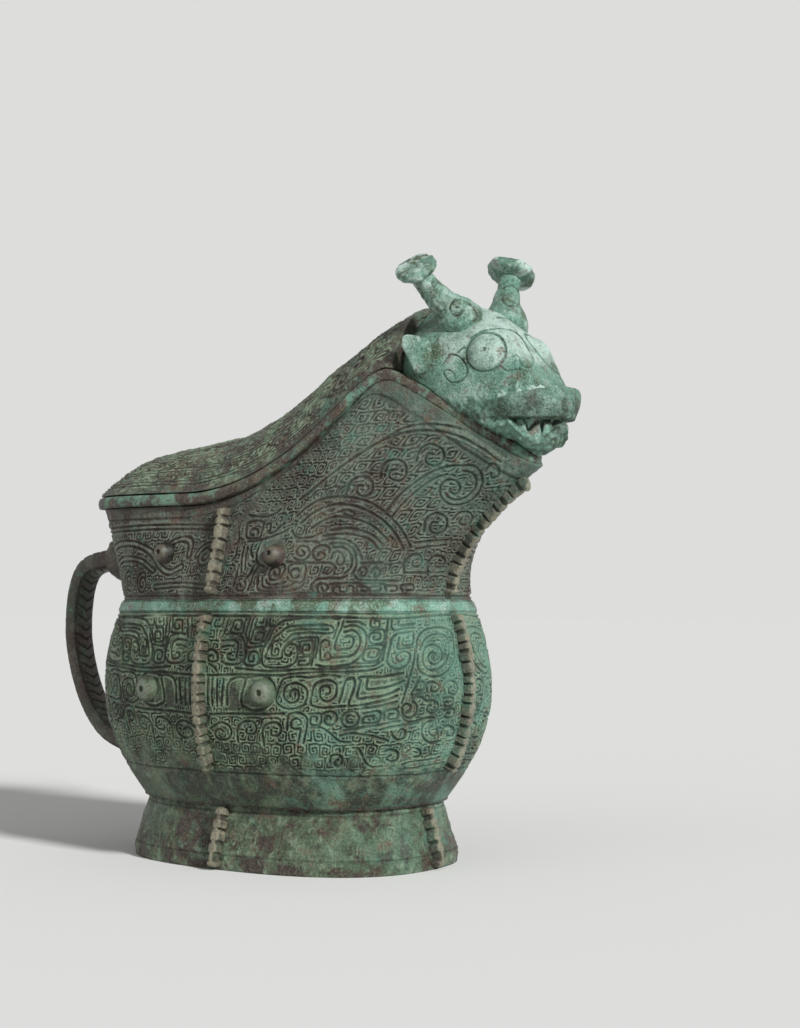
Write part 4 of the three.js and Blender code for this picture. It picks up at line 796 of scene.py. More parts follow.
def patina(name, pale, common, warm, cover, crust, spots, sea):
    """Patina in layers: broad patches of green and brown, pale crust on high parts, spots and pits, with the
    painted shade and painted highlights that the points carry.

    pale, common and warm name colours; cover is the share of green, crust the strength of the bump, spots the
    share of red and blue, and sea the share of blue green towards the front.
    """
    colours = bpy.context.scene.guang_patina
    shade = {k: (*getattr(colours, k), 1) for k in colours.__annotations__}
    material = bpy.data.materials.new(name)
    material.use_nodes = True
    tree = material.node_tree
    shader = tree.nodes["Principled BSDF"]
    place = tree.nodes.new("ShaderNodeTexCoord").outputs["Object"]

    def feed(socket, value):
        if isinstance(value, bpy.types.NodeSocket):
            tree.links.new(value, socket)
        else:
            socket.default_value = value

    def noise(scale, detail=5, rough=0.6):
        node = tree.nodes.new("ShaderNodeTexNoise")
        for key, value in zip(("Vector", "Scale", "Detail", "Roughness"), (place, scale, detail, rough)):
            feed(node.inputs[key], value)
        return node.outputs["Fac"]

    def span(value, low, high, to_low=0.0, to_high=1.0):
        node = tree.nodes.new("ShaderNodeMapRange")
        keys = ("Value", "From Min", "From Max", "To Min", "To Max")
        for key, number in zip(keys, (value, low, high, to_low, to_high)):
            feed(node.inputs[key], number)
        return node.outputs["Result"]

    def join(kind, a, b):
        node = tree.nodes.new("ShaderNodeMath")
        node.operation = kind
        feed(node.inputs[0], a)
        feed(node.inputs[1], b)
        return node.outputs[0]

    def mix(factor, a, b):
        node = tree.nodes.new("ShaderNodeMix")
        node.data_type = "RGBA"
        feed(node.inputs["Factor"], factor)
        feed(node.inputs[6], a)
        feed(node.inputs[7], b)
        return node.outputs[2]

    relief = tree.nodes.new("ShaderNodeAttribute")
    relief.attribute_name = "relief"
    # deep carries the painted shade of line floors and hollows, partly dark deposit; crest carries the
    # painted highlights, partly wear and pale crust
    deep = span(relief.outputs["Fac"], 0.06, 0.6)
    crest = span(relief.outputs["Fac"], 0.0, -0.3)
    axes = tree.nodes.new("ShaderNodeSeparateXYZ")
    tree.links.new(place, axes.inputs[0])
    broad, blots, speckle = noise(38, 6, 0.66), noise(150, 7, 0.74), noise(1300, 4)

    # Green over brown, blue green towards the front, then the pale crust, which the painted highlight of the
    # crests lifts
    less = 0.3 * cover
    green = join("ADD", broad, join("MULTIPLY", join("SUBTRACT", blots, 0.5), 1.3))
    colour = mix(span(green, 0.6 - less, 0.76 - less), shade[warm], shade[common])
    front = join("ADD", axes.outputs["X"], join("MULTIPLY", join("SUBTRACT", broad, 0.5), 0.22))
    colour = mix(span(front, 0.045, 0.09, 0, sea), colour, shade["azure"])
    light = join("ADD", noise(80, 6, 0.72), join("MULTIPLY", blots, 0.6))
    light = join("ADD", light, join("MULTIPLY", crest, 0.3))
    colour = mix(span(light, 0.8, 1.1), colour, shade[pale])
    colour = mix(span(front, 0.055, 0.105, 0, 0.7 * sea), colour, shade["lagoon"])

    # Spots, specks and the dark floors of the lines: dark deposit with painted shade
    few = 0.05 * spots
    colour = mix(span(noise(95, 6, 0.76), 0.6 - few, 0.69, 0, 0.85), colour, shade["azure"])
    colour = mix(span(noise(160, 6, 0.74), 0.59 - few, 0.66, 0, 0.8), colour, shade["cuprite"])
    colour = mix(span(speckle, 0.52, 0.74, 0, 0.5), colour, shade[pale])
    colour = mix(span(speckle, 0.47, 0.28, 0, 0.75), colour, shade["bronze"])
    colour = mix(join("MULTIPLY", deep, span(blots, 0.35, 0.65, 0.65, 0.25)), colour, shade["bronze"])

    rough = join("SUBTRACT", join("MULTIPLY", deep, 0.25), join("MULTIPLY", crest, 0.08))
    rough = join("ADD", span(blots, 0.3, 0.7, 0.34, 0.56), rough)
    bump = tree.nodes.new("ShaderNodeBump")
    feed(bump.inputs["Strength"], crust)
    feed(bump.inputs["Distance"], 0.0009)
    feed(bump.inputs["Height"], join("ADD", join("MULTIPLY", noise(420, 7, 0.78), 1.3), speckle))
    feed(shader.inputs["Base Color"], colour)
    feed(shader.inputs["Roughness"], rough)
    feed(shader.inputs["Metallic"], span(green, 0.78 - less, 0.53 - less, 0.03, 0.3))
    feed(shader.inputs["Normal"], bump.outputs["Normal"])
    return material


FINISHES = {
    "belly_patina": ("sage", "leaf", "moss", 0.52, 0.85, 0.9, 0.75),
    "neck_patina": ("lichen", "moss", "umber", 0.42, 0.85, 0.8, 0.25),
    "band_patina": ("mint", "verdigris", "leaf", 0.75, 0.5, 0.6, 0.45),
    "lid_patina": ("sage", "moss", "umber", 0.58, 0.8, 0.6, 0.1),
    "border_patina": ("sage", "verdigris", "umber", 0.35, 0.7, 0.6, 0.0),
    "head_patina": ("mint", "verdigris", "leaf", 0.85, 0.7, 0.5, 0.1),
    "belly_boss_patina": ("lichen", "leaf", "moss", 0.7, 0.4, 0.2, 0.2),
    "neck_boss_patina": ("clay", "umber", "bronze", 0.6, 0.3, 0.1, 0.0),
    "neck_rib_patina": ("earth", "clay", "moss", 0.6, 0.8, 0.3, 0.1),
    "belly_rib_patina": ("earth", "leaf", "clay", 0.5, 0.8, 0.5, 0.2),
    "foot_rib_patina": ("earth", "leaf", "clay", 0.5, 0.8, 0.5, 0.2),
    "handle_patina": ("lichen", "moss", "umber", 0.5, 0.7, 0.5, 0.0),
    "foot_patina": ("sage", "leaf", "umber", 0.7, 0.9, 0.9, 0.25),
}


def finish(name):
    """The named finish, made once."""
    return bpy.data.materials.get(name) or patina(name, *FINISHES[name])


# Vessel

def wall_shade(furrow, crest, rough):
    """Painted shade of a wall: dark in the furrows (painted shade with dark deposit), pale on the crests (a
    painted highlight with wear) and on what the grain lifts.
    """
    return furrow - CREST_PALE * crest - ROUGH_PALE * rough


def clear_of_ribs(u, run):
    """1 on a quarter of a wall, easing to 0 beside the ribs at both of its ends."""
    return ease((u - 1) / 1.2) * ease((run.max() - u - 1) / 1.2)


class GUANG_OT_belly(bpy.types.Operator):
    """Belly wall in four quarters with the mask in relief, and the vessel's floor"""

    bl_idname = "guang.belly"
    bl_label = "Belly"

    def execute(self, context):
        s = sizes()
        field_low = s.foot_height + 11.5
        border, hem_top, ornament_low, ornament_high = 37.2, 36, 38.4, 95
        crust_top, wear_low = 54, 30
        for side, end in QUARTERS:
            columns, rows = (365, 206) if end == "front" else (305, 170)
            hem = np.linspace(s.foot_height, field_low, 12)[:-1]
            angle, run = quarter(s, columns, side, end)
            turn, height = np.meshgrid(angle, np.concatenate([hem, np.linspace(field_low, s.band, rows)]))
            u = np.broadcast_to(run, turn.shape)
            skin = belly_point(s, turn, height)
            if (side, end) == QUARTERS[0]:
                lines, pads = (laid(skin, drawing) for drawing in belly_drawing())
            ground = swayed_ground(s, skin, u + 0.6, height - 35.4, 42)
            inside = field(u, height, 2, run.max() - 2, ornament_low, ornament_high)
            inside = inside * ease((height - hem_top) / 6 + 0.65 + 0.9 * grain(skin, 6, 40))
            crusted = ease((crust_top - height) / 12)
            inside = inside * (1 - crusted * ease(0.3 + 1.1 * grain(skin, 5, 46)))
            furrow, crest = ornament(s, folded(skin, side, end), lines, pads, ground, inside)
            furrow = np.maximum(furrow, sunk(height - border, s.line_half))
            worn = ease((height - wear_low) / 18) + 0.3 * grain(skin, 9, 1)
            keep = clear_of_ribs(u, run)
            furrow = furrow * keep * np.clip(0.6 + 0.5 * worn, 0.35, 1)
            rough = grains(skin, (0.18, 1.3, 2), (0.14, 3.4, 30), (0.22, 12, 3))
            rough = rough + 0.22 * crusted * grain(skin, 2.1, 47)
            rough = rough * keep * ease((height - wear_low) / 4) * ease((s.band - height) / 1.5)
            crest = crest * keep * np.clip(worn, 0, 1)
            skin = raised(skin, rough - s.line_depth * furrow + CREST_HEIGHT * crest)
            turn, height = np.meshgrid(angle, np.linspace(s.band, s.foot_height, 14))
            grid = np.concatenate([skin, belly_point(s, turn, height, -s.wall)])
            shade = np.concatenate([wall_shade(furrow, crest, rough), np.zeros(turn.shape)])
            name = f"belly_wall_{side}_{end}"
            cast(name, grid, "belly_patina", "vessel", ["vessel_body"], shade)
        angle = around(128)
        share = np.array([0, 0.5, 1, 1, 0.5, 0])[:, None]
        level = s.foot_height + np.array([1, 1, 1, 0, 0, 0])[:, None] * s.wall
        edge = belly_point(s, angle, np.full(128, s.foot_height + 0.5 * s.wall), -0.6)
        grid = np.stack([share * edge[:, 0], share * edge[:, 1], level + 0 * edge[:, 0]], -1)[::-1]
        cast("vessel_floor", grid, "neck_patina", "vessel", ["vessel_body"], None, COLUMNS)
        return {"FINISHED"}


class GUANG_OT_band(bpy.types.Operator):
    """Plain rounded band between belly and neck"""

    bl_idname = "guang.band"
    bl_label = "Shoulder band"

    def execute(self, context):
        s = sizes()
        angle = around(720)
        t = np.linspace(0, 1, 25)
        swell = s.band_proud * np.minimum(1, 4.2 * np.sqrt(t * (1 - t)))
        line = np.maximum(sunk(t - 0.1, 0.07), sunk(t - 0.9, 0.07))
        low = belly_scale(s, np.float64(s.band))
        share = (low + (SHOULDER - low) * t)[:, None]
        z = (s.band + s.band_height * t)[:, None]
        skin = belly_ring(s, angle, share, (swell - 0.55 * line)[:, None], z)
        ux, uy = oval(angle, OVAL)
        skin = skin + 0.08 * grain(skin, 3, 4)[..., None] * np.stack([ux, uy, 0 * ux], -1)
        back = belly_ring(s, angle, share[::-6], -s.wall, z[::-6])
        # The two grooves are painted darker: painted shade with dark deposit
        shade = np.concatenate([np.broadcast_to(line[:, None], skin.shape[:2]), np.zeros(back.shape[:2])])
        grid = np.concatenate([skin, back])
        cast("shoulder_band", grid, "band_patina", "vessel", ["vessel_body"], shade, BOTH)
        return {"FINISHED"}


class GUANG_OT_neck(bpy.types.Operator):
    """Neck wall in four quarters, up to the rim that climbs to the spout"""

    bl_idname = "guang.neck"
    bl_label = "Neck"

    def execute(self, context):
        s = sizes()
        low_border, low_edge, top_border, top_edge = 1.4, 2.2, 4.6, 5.5
        for side, end in QUARTERS:
            columns, rows = (361, 200) if end == "front" else (321, 92)
            angle, run = quarter(s, columns, side, end)
            turn, level = np.meshgrid(angle, np.linspace(0, 1, rows))
            u = np.broadcast_to(run, turn.shape)
            skin = neck_point(s, turn, level)
            tall = skin[-1, :, 2] - s.neck
            high = level * tall
            if (side, end) == QUARTERS[0]:
                lines, pads = (laid(skin, drawing) for drawing in neck_drawing())
            ground = swayed_ground(s, skin, u + 2, high + 0.4, 44)
            inside = field(u, high, 2, run.max() - 2, low_edge, tall - top_edge)
            if end == "front":
                furrow, crest = ornament(s, folded(skin, side, end), lines, pads, ground, inside)
            else:
                flat = np.stack([u, high], -1)
                furrow, crest = ornament(s, flat, rear_strands(), [], ground, inside)
            border = [sunk(gap, s.line_half) for gap in (high - low_border, tall - top_border - high)]
            furrow = np.maximum.reduce([furrow, *border])
            furrow = furrow * np.clip(0.8 + 0.4 * grain(skin, 8, 5), 0.3, 1)
            keep = clear_of_ribs(u, run) * ease((1 - level) * tall / 1.5)
            furrow, crest = furrow * keep, crest * keep
            rough = grains(skin, (0.22, 1.3, 6), (0.14, 3, 31), (0.2, 9, 7)) * ease(high / 1.5) * keep
            skin = raised(skin, rough - s.line_depth * furrow + CREST_HEIGHT * crest)
            top = np.full(angle.shape, 1.006)
            lip = np.stack([neck_point(s, angle, top, out) for out in (-0.7, -s.wall + 0.7)])
            turn, level = np.meshgrid(angle, np.linspace(1, 0, 22))
            back = np.concatenate([lip, neck_point(s, turn, level, -s.wall)])
            grid = np.concatenate([skin, back])
            shade = np.concatenate([wall_shade(furrow, crest, rough), np.zeros(back.shape[:2])])
            name = f"neck_wall_{side}_{end}"
            cast(name, grid, "neck_patina", "vessel", ["vessel_body"], shade)
        return {"FINISHED"}


class GUANG_OT_foot(bpy.types.Operator):
    """Foot ring with worn ornament over a plain edge"""

    bl_idname = "guang.foot"
    bl_label = "Foot ring"

    def execute(self, context):
        s = sizes()
        cell, pitch, whole_run = 5.7, 1.35, 410.4
        low_line, low_edge, top_edge, top_line = 5.6, 6.6, 20.4, 21.6
        angle = around(840)
        turn, z = np.meshgrid(angle, np.concatenate([[0, 0.6], np.linspace(1.4, s.foot_height, 66)]))
        skin = foot_point(s, turn, z)
        step = np.linalg.norm(np.diff(np.vstack([skin[0], skin[0][:1]]), axis=0), axis=1)
        run = np.cumsum(step) - step
        u = np.broadcast_to((run * whole_run / step.sum()) % whole_run, turn.shape)
        ground = thunder(u, z - 7, cell, pitch, 0.8 * s.line_half)
        ground = ground * ease((z - low_edge) / 0.6) * ease((top_edge - z) / 0.6)
        lines = np.maximum(sunk(z - low_line, s.line_half), sunk(z - top_line, s.line_half))
        furrow = np.maximum(0.5 * ground * ease(0.25 + 0.9 * grain(skin, 7, 8)), 0.6 * lines)
        rough = grains(skin, (0.3, 1.4, 9), (0.28, 3.2, 32))
        high = (rough - 0.5 * furrow + 0.3 * grain(skin, 8, 10)) * ease(z / 2)
        outward = skin / np.linalg.norm(skin[..., :2], axis=-1)[..., None] * (1, 1, 0)
        skin = skin + high[..., None] * outward
        turn, z = np.meshgrid(angle, np.linspace(s.foot_height, 0, 6))
        grid = np.concatenate([skin, foot_point(s, turn, z, -3.6)])
        # The furrows are painted darker, painted shade with dark deposit; lifted grain is paler crust
        shade = np.concatenate([furrow - ROUGH_PALE * rough, np.zeros(turn.shape)])
        cast("foot_wall", grid, "foot_patina", "vessel", ["foot_ring"], shade, BOTH)
        return {"FINISHED"}


def rib(s, node, path, turn, beads, knob=0.0):
    """A rib: a rounded bar carried along its wall, cut from both sides by narrow notches that leave a rail.

    With a knob the bar swells to a ball of that radius at its upper end.
    """
    path = np.asarray(path, float)
    run = lengths(path)
    along = np.linspace(0, run[-1], beads * 20)
    r, z = (np.interp(along, run, path[:, k]) for k in (0, 1))
    dr, dz = np.gradient(r, along), np.gradient(z, along)
    norm = np.hypot(dr, dz)
    wander = 0.12 * np.sin(along * 0.9) + 0.1 * np.sin(along * 0.37 + 1)
    phase = (along / run[-1] * (beads - 0.4) + wander) % 1
    notch = ease((phase - 0.62) / 0.1) * ease((0.98 - phase) / 0.12)
    ends = np.sqrt(np.clip(np.minimum(along, run[-1] - along) / 1.2, 0, 1))
    across, up = oval(around(40), 4)
    half = 0.5 * s.rib_thick * (1 - 0.52 * notch) * (0.7 + 0.3 * ends)
    proud = (s.rib_proud - 0.2 * notch) * (0.5 + 0.5 * ends)
    ball = np.sqrt(np.clip(1 - ((run[-1] - along - knob) / max(knob, 0.1)) ** 2, 0, 1)) * (knob > 0)
    half, proud = np.maximum(half, knob * ball), np.maximum(proud, 2 * knob * ball)
    low = -1.2
    out = low + (proud - low)[:, None] * (0.5 + 0.5 * up)
    side = half[:, None] * across * (1 - 0.14 * (0.5 + 0.5 * up))
    plan = r[:, None] + out * (dz / norm)[:, None]
    height = z[:, None] - out * (dr / norm)[:, None]
    c, d = math.cos(turn), math.sin(turn)
    grid = np.stack([plan * c - side * d, plan * d + side * c, height], -1)
    rough = grains(grid, (0.2, 1.3, 11), (0.2, 2.8, 33))
    grid = tipped(grid + rough[..., None] * (c, d, 0))
    # Painted shade in the sides of the notches; the outer face is paler, a painted highlight with wear
    shade = 0.55 * notch[:, None] * ease((np.abs(across) - 0.6) / 0.25) - 0.3 * ease((up - 0.6) / 0.3)
    shade = np.pad(shade - 0.7 * rough, ((1, 1), (0, 0)))
    look = f"{node.split('_')[0]}_rib_patina"
    cast(f"cast_{node}", grid[:, ::-1], look, "vessel", [node], shade[:, ::-1], COLUMNS)


class GUANG_OT_ribs(bpy.types.Operator):
    """Notched ribs of belly, neck and foot"""

    bl_idname = "guang.ribs"
    bl_label = "Ribs"

    def execute(self, context):
        s = sizes()
        ways = {"front": 0.0, "left": math.pi / 2, "rear": math.pi, "right": -math.pi / 2}
        belly_beads, neck_beads, front_beads, foot_beads = 16, 8, 13, 5

        def plane(turn, points):
            return np.stack([points[:, 0] * math.cos(turn) + points[:, 1] * math.sin(turn), points[:, 2]], -1)

        for side in ("front", "left", "right"):
            turn = ways[side]
            angle = np.full(60, turn)
            z = np.linspace(s.foot_height + 14, s.band - 1.2, 60)
            rib(s, f"belly_rib_{side}", plane(turn, belly_point(s, angle, z)), turn, belly_beads)
            top, beads, knob = (0.93, front_beads, 2.4) if side == "front" else (0.88, neck_beads, 0.0)
            level = np.linspace(0.04, top, 60)
            if side != "front":
                scan = np.sign(turn) * np.linspace(0.8, 2.2, 1400)
                x = neck_point(s, *np.meshgrid(scan, level))[..., 0]
                angle = scan[np.abs(x).argmin(1)]
            rib(s, f"neck_rib_{side}", plane(turn, neck_point(s, angle, level)), turn, beads, knob)
        z = np.linspace(1.2, s.foot_height - 1.2, 30)
        for side, turn in ways.items():
            path = plane(turn, foot_point(s, np.full(30, turn), z))
            rib(s, f"foot_rib_{side}", path, turn, foot_beads)
        return {"FINISHED"}


def wall_frame(wall, angle, at):
    """Point of a wall and its outward direction, from two short steps along it."""
    here = wall(angle, at)
    normal = np.cross(wall(angle + 0.01, at) - here, wall(angle, at + 0.01) - here)
    return here, normal / np.linalg.norm(normal)


class GUANG_OT_bosses(bpy.types.Operator):
    """Round eyes of the masks, each with a small pit"""

    bl_idname = "guang.bosses"
    bl_label = "Mask eyes"

    def execute(self, context):
        s = sizes()
        count = 64
        t = np.linspace(0, 1, 40)
        pit = 1.1 * np.clip(1 - (t / 0.24) ** 4, 0, 1)
        # Painted shade in the pit and in a ring where the dome meets the wall; the dome is paler, a painted
        # highlight
        shade = np.concatenate([np.clip(pit, 0, 1) - 0.3 * ease(3 - 3.4 * t), [0.8, 0]])
        shade = shade[:, None] * np.ones(count)

        def belly_at(angle, share):
            return belly_point(s, angle, s.foot_height + (s.band - s.foot_height) * share)

        def neck_at(angle, share):
            return neck_point(s, angle, share)

        for side, end in QUARTERS:
            sign, way = (1 if side == "left" else -1), (1 if end == "front" else -1)
            scan = sign * np.linspace(0.3, 2.84, 2600)
            spots = [
                ("belly", 28.5, 0.6, 5.3, 3.7, belly_at, "pale_patina"),
                ("neck", 26.5, 0.22 if end == "front" else 0.5, 4.4, 5.4, neck_at, "dark_bronze"),
            ]
            for place, x, at, radius, tall, wall, slot in spots:
                angle = scan[np.abs(wall(scan, np.full(scan.shape, at))[:, 0] - way * x).argmin()]
                here, normal = wall_frame(wall, np.float64(angle), np.float64(at))
                dome = np.stack([radius * t, tall * (1 - t ** 2.4) ** 0.62 - pit], -1)
                profile = np.concatenate([dome, [[radius * 1.02, -1.2], [0, -1.2]]])
                grid = turned(profile, count, here, normal)
                grid = grid + 0.1 * grain(grid, 2, 12)[..., None] * normal
                node = f"{place}_boss_{side}_{end}"
                cast(f"cast_{node}", grid, f"{place}_boss_patina", "vessel", [node], shade, COLUMNS)
        return {"FINISHED"}


def handle_piece(node, grid, shade):
    """Lays down a piece of the handle."""
    cast(f"cast_{node}", grid, "handle_patina", "vessel", [node], shade, COLUMNS)


class GUANG_OT_handle(bpy.types.Operator):
    """Loop handle: a strap that leaves a small beast's mouth and comes back to the belly"""

    bl_idname = "guang.handle"
    bl_label = "Handle"

    def execute(self, context):
        s = sizes()
        half_thick, half_wide, pitch = 4.5, 6, 4.6
        out = s.snout - half_thick
        path = bent((-91.4, 121), (6 - out, 115), (-out, 90), (6 - out, 65), (18 - out, 48), (-87.5, 41),
                    (-75.5, 41), steps=60)
        run = lengths(path)
        along = np.linspace(0, run[-1], 340)
        x, z = (np.interp(along, run, path[:, k]) for k in (0, 1))
        dx, dz = np.gradient(x), np.gradient(z)
        norm = np.hypot(dx, dz)
        across, away = oval(around(80), 3)
        chevron = (along[:, None] + 1.4 * np.abs(across) * 3) / pitch
        scale = sunk((chevron - np.floor(chevron) - 0.5) * pitch, 0.5) * ease((np.abs(away) - 0.75) / 0.1)
        edge = sunk(np.abs(across) * half_wide - 5, 0.5) * ease((np.abs(away) - 0.4) / 0.2)
        furrow = np.clip(np.maximum(scale, edge), 0, 1)
        thick = half_thick * away * (1 - 0.11 * furrow)
        wide = half_wide * across
        x, z, lean_x, lean_z = (column[:, None] for column in (x, z, dz / norm, dx / norm))
        grid = np.stack([x - lean_x * thick, wide + 0 * x, z + lean_z * thick], -1)
        grid[..., 1] += 0.1 * grain(grid, 1.8, 13) * np.sign(wide)
        # The grooves of the scales and edges are painted darker: painted shade with dark deposit
        shade = np.pad(furrow, ((1, 1), (0, 0)))
        handle_piece("handle_strap", tipped(grid)[:, ::-1], shade[:, ::-1])

        turn, rise = np.meshgrid(around(160), np.linspace(-np.pi / 2, np.pi / 2, 100))
        ball = np.stack([np.cos(rise) * np.cos(turn), np.cos(rise) * np.sin(turn), np.sin(rise)], -1)
        skull = ball * (17, 10.5, 11) + (-86.2, 0, 120)
        halves = (skull, skull * (1, -1, 1))
        lines = [
            bent((-94, 7.6, 126.5), (-90, 9.4, 126), (-86, 10, 123)),
            bent((-102, 3, 122), (-98, 7, 121), (-93, 9, 118)),
            bent((-100, 0, 126), (-94, 0, 130), (-86, 0, 131)),
        ]
        ridge = bent((-97, 6, 127), (-91, 8.6, 128), (-85, 8.6, 128.4))
        furrow = np.maximum.reduce([sunk(path_distance(q, line, 3), 0.6) for q in halves for line in lines])
        eye = np.maximum(*(ease(1 - np.linalg.norm(q - (-92.4, 9.2, 123.4), axis=-1) / 3.2) for q in halves))
        brow = np.maximum(*(ease(1 - path_distance(q, ridge, 3) / 2.6) for q in halves))
        high = 1.5 * eye + 1.1 * brow - 0.7 * furrow + 0.18 * grain(skull, 1.8, 14)
        # The lines of the head are painted darker: painted shade with dark deposit
        handle_piece("handle_head", skull + ball * high[..., None], furrow)

        t = np.linspace(0, 1, 26)
        ear = np.stack([3.6 * np.sqrt(1 - t ** 1.6) * (1 - 0.25 * np.sin(np.pi * t)), 11 * t - 2.4], -1)
        ear = np.concatenate([[[0, -2.4]], ear])[::-1]
        for side, sign in SIDES:
            grid = turned(ear, 40, (-85.2, sign * 6.2, 128.4), (0.12, sign * 0.42, 0.9))
            handle_piece(f"handle_ear_{side}", grid, None)
        return {"FINISHED"}


# Lid

def overhang(s, x):
    """How far the lid's border stands out; it draws in under the head."""
    return s.lid_overhang - (s.lid_overhang + 0.5) * ease((x - s.head_back + 16) / 16)


def lid_ridge(s, x):
    """Height of the vault's ridge: a nearly level run from the back, then a steepening climb to the head."""
    at = np.array([-75, -60, -45, -30, -18, -6, 6, 18, 30, 45, 66])
    over = np.array([22.4, 24.8, 27.2, 29.1, 30.2, 33.8, 40, 46.8, 56.2, 65, 76.2])
    return s.neck + s.rim_rise + smooth_table(x, at, over, 4)


class GUANG_OT_lid_rim(bpy.types.Operator):
    """Plain border of the lid and the tongue that drops into the mouth"""

    bl_idname = "guang.lid_rim"
    bl_label = "Lid border"

    def execute(self, context):
        s = sizes()
        angle = around(480)
        inset = -s.wall - 0.9
        top = 0.4 + s.lid_border
        tongue_drop, tongue_thick = -5, 2.2

        def edge(height, draw=0.0):
            x, y = mouth_plan(s, angle, overhang(s, mouth_plan(s, angle, 0)[0]) - draw)
            return np.stack([x, y, rim_z(s, x) + height], -1)

        def tongue(height, out):
            x0, y0 = mouth_plan(s, angle, inset + out)
            neck = neck_point(s, angle, np.full(angle.shape, 0.84), inset + out)
            x = np.where(np.cos(angle) > 0, np.minimum(x0, neck[:, 0]), np.maximum(x0, neck[:, 0]))
            y = np.sign(y0) * np.minimum(np.abs(y0), np.abs(neck[:, 1]))
            return np.stack([x, y, rim_z(s, x) + height], -1)

        wave = 0.25 * grain(edge(2.5), 5, 15)[:, None] * (0, 0, 1)
        profile = [(0.45, 0.9, 0), (0.6, 0.2, 0.5), (1.4, 0, 1), (2.6, -0.15, 1), (3.8, 0, 1), (4.6, 0.3, 1),
                   (top, 1, 0.4)]
        rows = [tongue(0.4, 0)]
        rows += [edge(height, draw) + wave * share for height, draw, share in profile]
        rows += [tongue(top, -tongue_thick), tongue(tongue_drop, -tongue_thick), tongue(tongue_drop, 0)]
        cast("cast_lid_rim", np.stack(rows), "border_patina", "lid", ["lid_rim"], None, BOTH)
        return {"FINISHED"}


class GUANG_OT_lid_vault(bpy.types.Operator):
    """Vault of the lid with its long worn bands, and the wall that closes it under the head"""

    bl_idname = "guang.lid_vault"
    bl_label = "Lid vault"

    def execute(self, context):
        s = sizes()
        fine = np.linspace(0.05, np.pi, 6000)
        x0, y0 = mouth_plan(s, fine, 0)
        run = np.concatenate([[0], np.cumsum(np.hypot(np.diff(x0), np.diff(y0)))])
        start = np.interp(-s.head_back, -x0, run)
        columns = np.arange(320)
        last = columns[-1]
        angle = np.interp(start + (run[-1] - start) * columns / last, run, fine)

        def vault(q, inset):
            x, y = mouth_plan(s, angle, overhang(s, mouth_plan(s, angle, 0)[0]) - 0.9 - inset)
            x[0] = s.head_back
            close = 0.3 + 0.7 * (1 - (1 - np.clip((x + s.mouth_rear + s.lid_overhang) / 16, 0, 1)) ** 2)
            base = rim_z(s, x) + 5.5
            rise = (lid_ridge(s, x) - base) * close - inset
            q = q[:, None]
            return np.stack([x + 0 * q, np.abs(y) * q, base + rise * (1 - q * q) ** 0.92], -1)

        q = np.sin(np.linspace(-np.pi / 2, np.pi / 2, 261))
        skin = vault(q, 0)
        arc = np.cumsum(np.linalg.norm(np.diff(skin, axis=0, prepend=skin[:1]), axis=-1), axis=0)
        u, v = skin[..., 0], np.minimum(arc, arc[-1] - arc)
        strands = [
            (bent((-70, 5), (-20, 5.4), (30, 6), (62, 7)), 0.9),
            (bent((-68, 13.6), (-20, 14), (20, 14.6), (40, 16)), 1.0),
            (bent((-64, 22.6), (-20, 23.4), (24, 25), (60, 28)), 1.0),
            (bent((-58, 31), (-10, 32), (60, 37)), 0.9),
            (spiral(47, 14.6, 5.2, 2, 2.6, 1), 1.2),
            (spiral(-60, 9.4, 3.2, 1.5, 0, 1), 0.95),
            (spiral(-44, 18.4, 3.4, 1.5, 0, 1), 0.95),
            (spiral(-6, 19, 3.6, 1.6, 0, 1), 0.95),
            (spiral(20, 10.2, 3.4, 1.5, 3, -1), 0.95),
        ]
        ground = thunder(u + 3, v - 1, 4.3, 1.3, 0.7 * s.line_half)
        flat = np.stack([u, v], -1)
        furrow, crest = ornament(s, flat, strands, [], ground, field(u, v, -71, 62, 3, 60))
        keep = ease(arc / 1.5) * ease((arc[-1] - arc) / 1.5)
        keep = keep * ease((last - columns) / 8) * ease(columns / 4)
        wear = np.clip(0.75 + 0.45 * grain(skin, 7, 16), 0.25, 1.1)
        rough = grains(skin, (0.32, 1.4, 17), (0.22, 3.4, 34))
        high = rough - (s.line_depth * furrow - CREST_HEIGHT * crest) * wear + 0.35 * grain(skin, 8, 18)
        normal = unit(np.cross(np.gradient(skin, axis=0), np.gradient(skin, axis=1)))
        normal *= np.sign(normal[..., 2:] + 1e-6)
        skin = skin + normal * (high * keep)[..., None]
        inner = vault(np.sin(np.linspace(np.pi / 2, -np.pi / 2, 25)), s.lid_wall)
        grid = np.concatenate([skin, inner])[:, ::-1]
        # Painted shade with dark deposit in the furrows, a painted highlight with wear on the crests, paler
        # lifted grain
        shade = ((furrow - CREST_PALE * crest) * wear - ROUGH_PALE * rough) * keep
        shade = np.concatenate([shade, np.zeros(inner.shape[:2])])[:, ::-1]
        cast("cast_lid_vault", grid, "lid_patina", "lid", ["lid_vault"], shade)
        arch = vault(q[::4], 0.5 * s.lid_wall)[:, 0] - (0.8, 0, 0)
        middle = arch[[0, -1]].mean(0) + 0 * arch
        behind = (s.lid_wall, 0, 0)
        wall = np.stack([middle, arch, arch - behind, middle - behind])
        cast("lid_end_wall", wall, "lid_patina", "lid", ["lid_vault"])
        return {"FINISHED"}


# Beast head

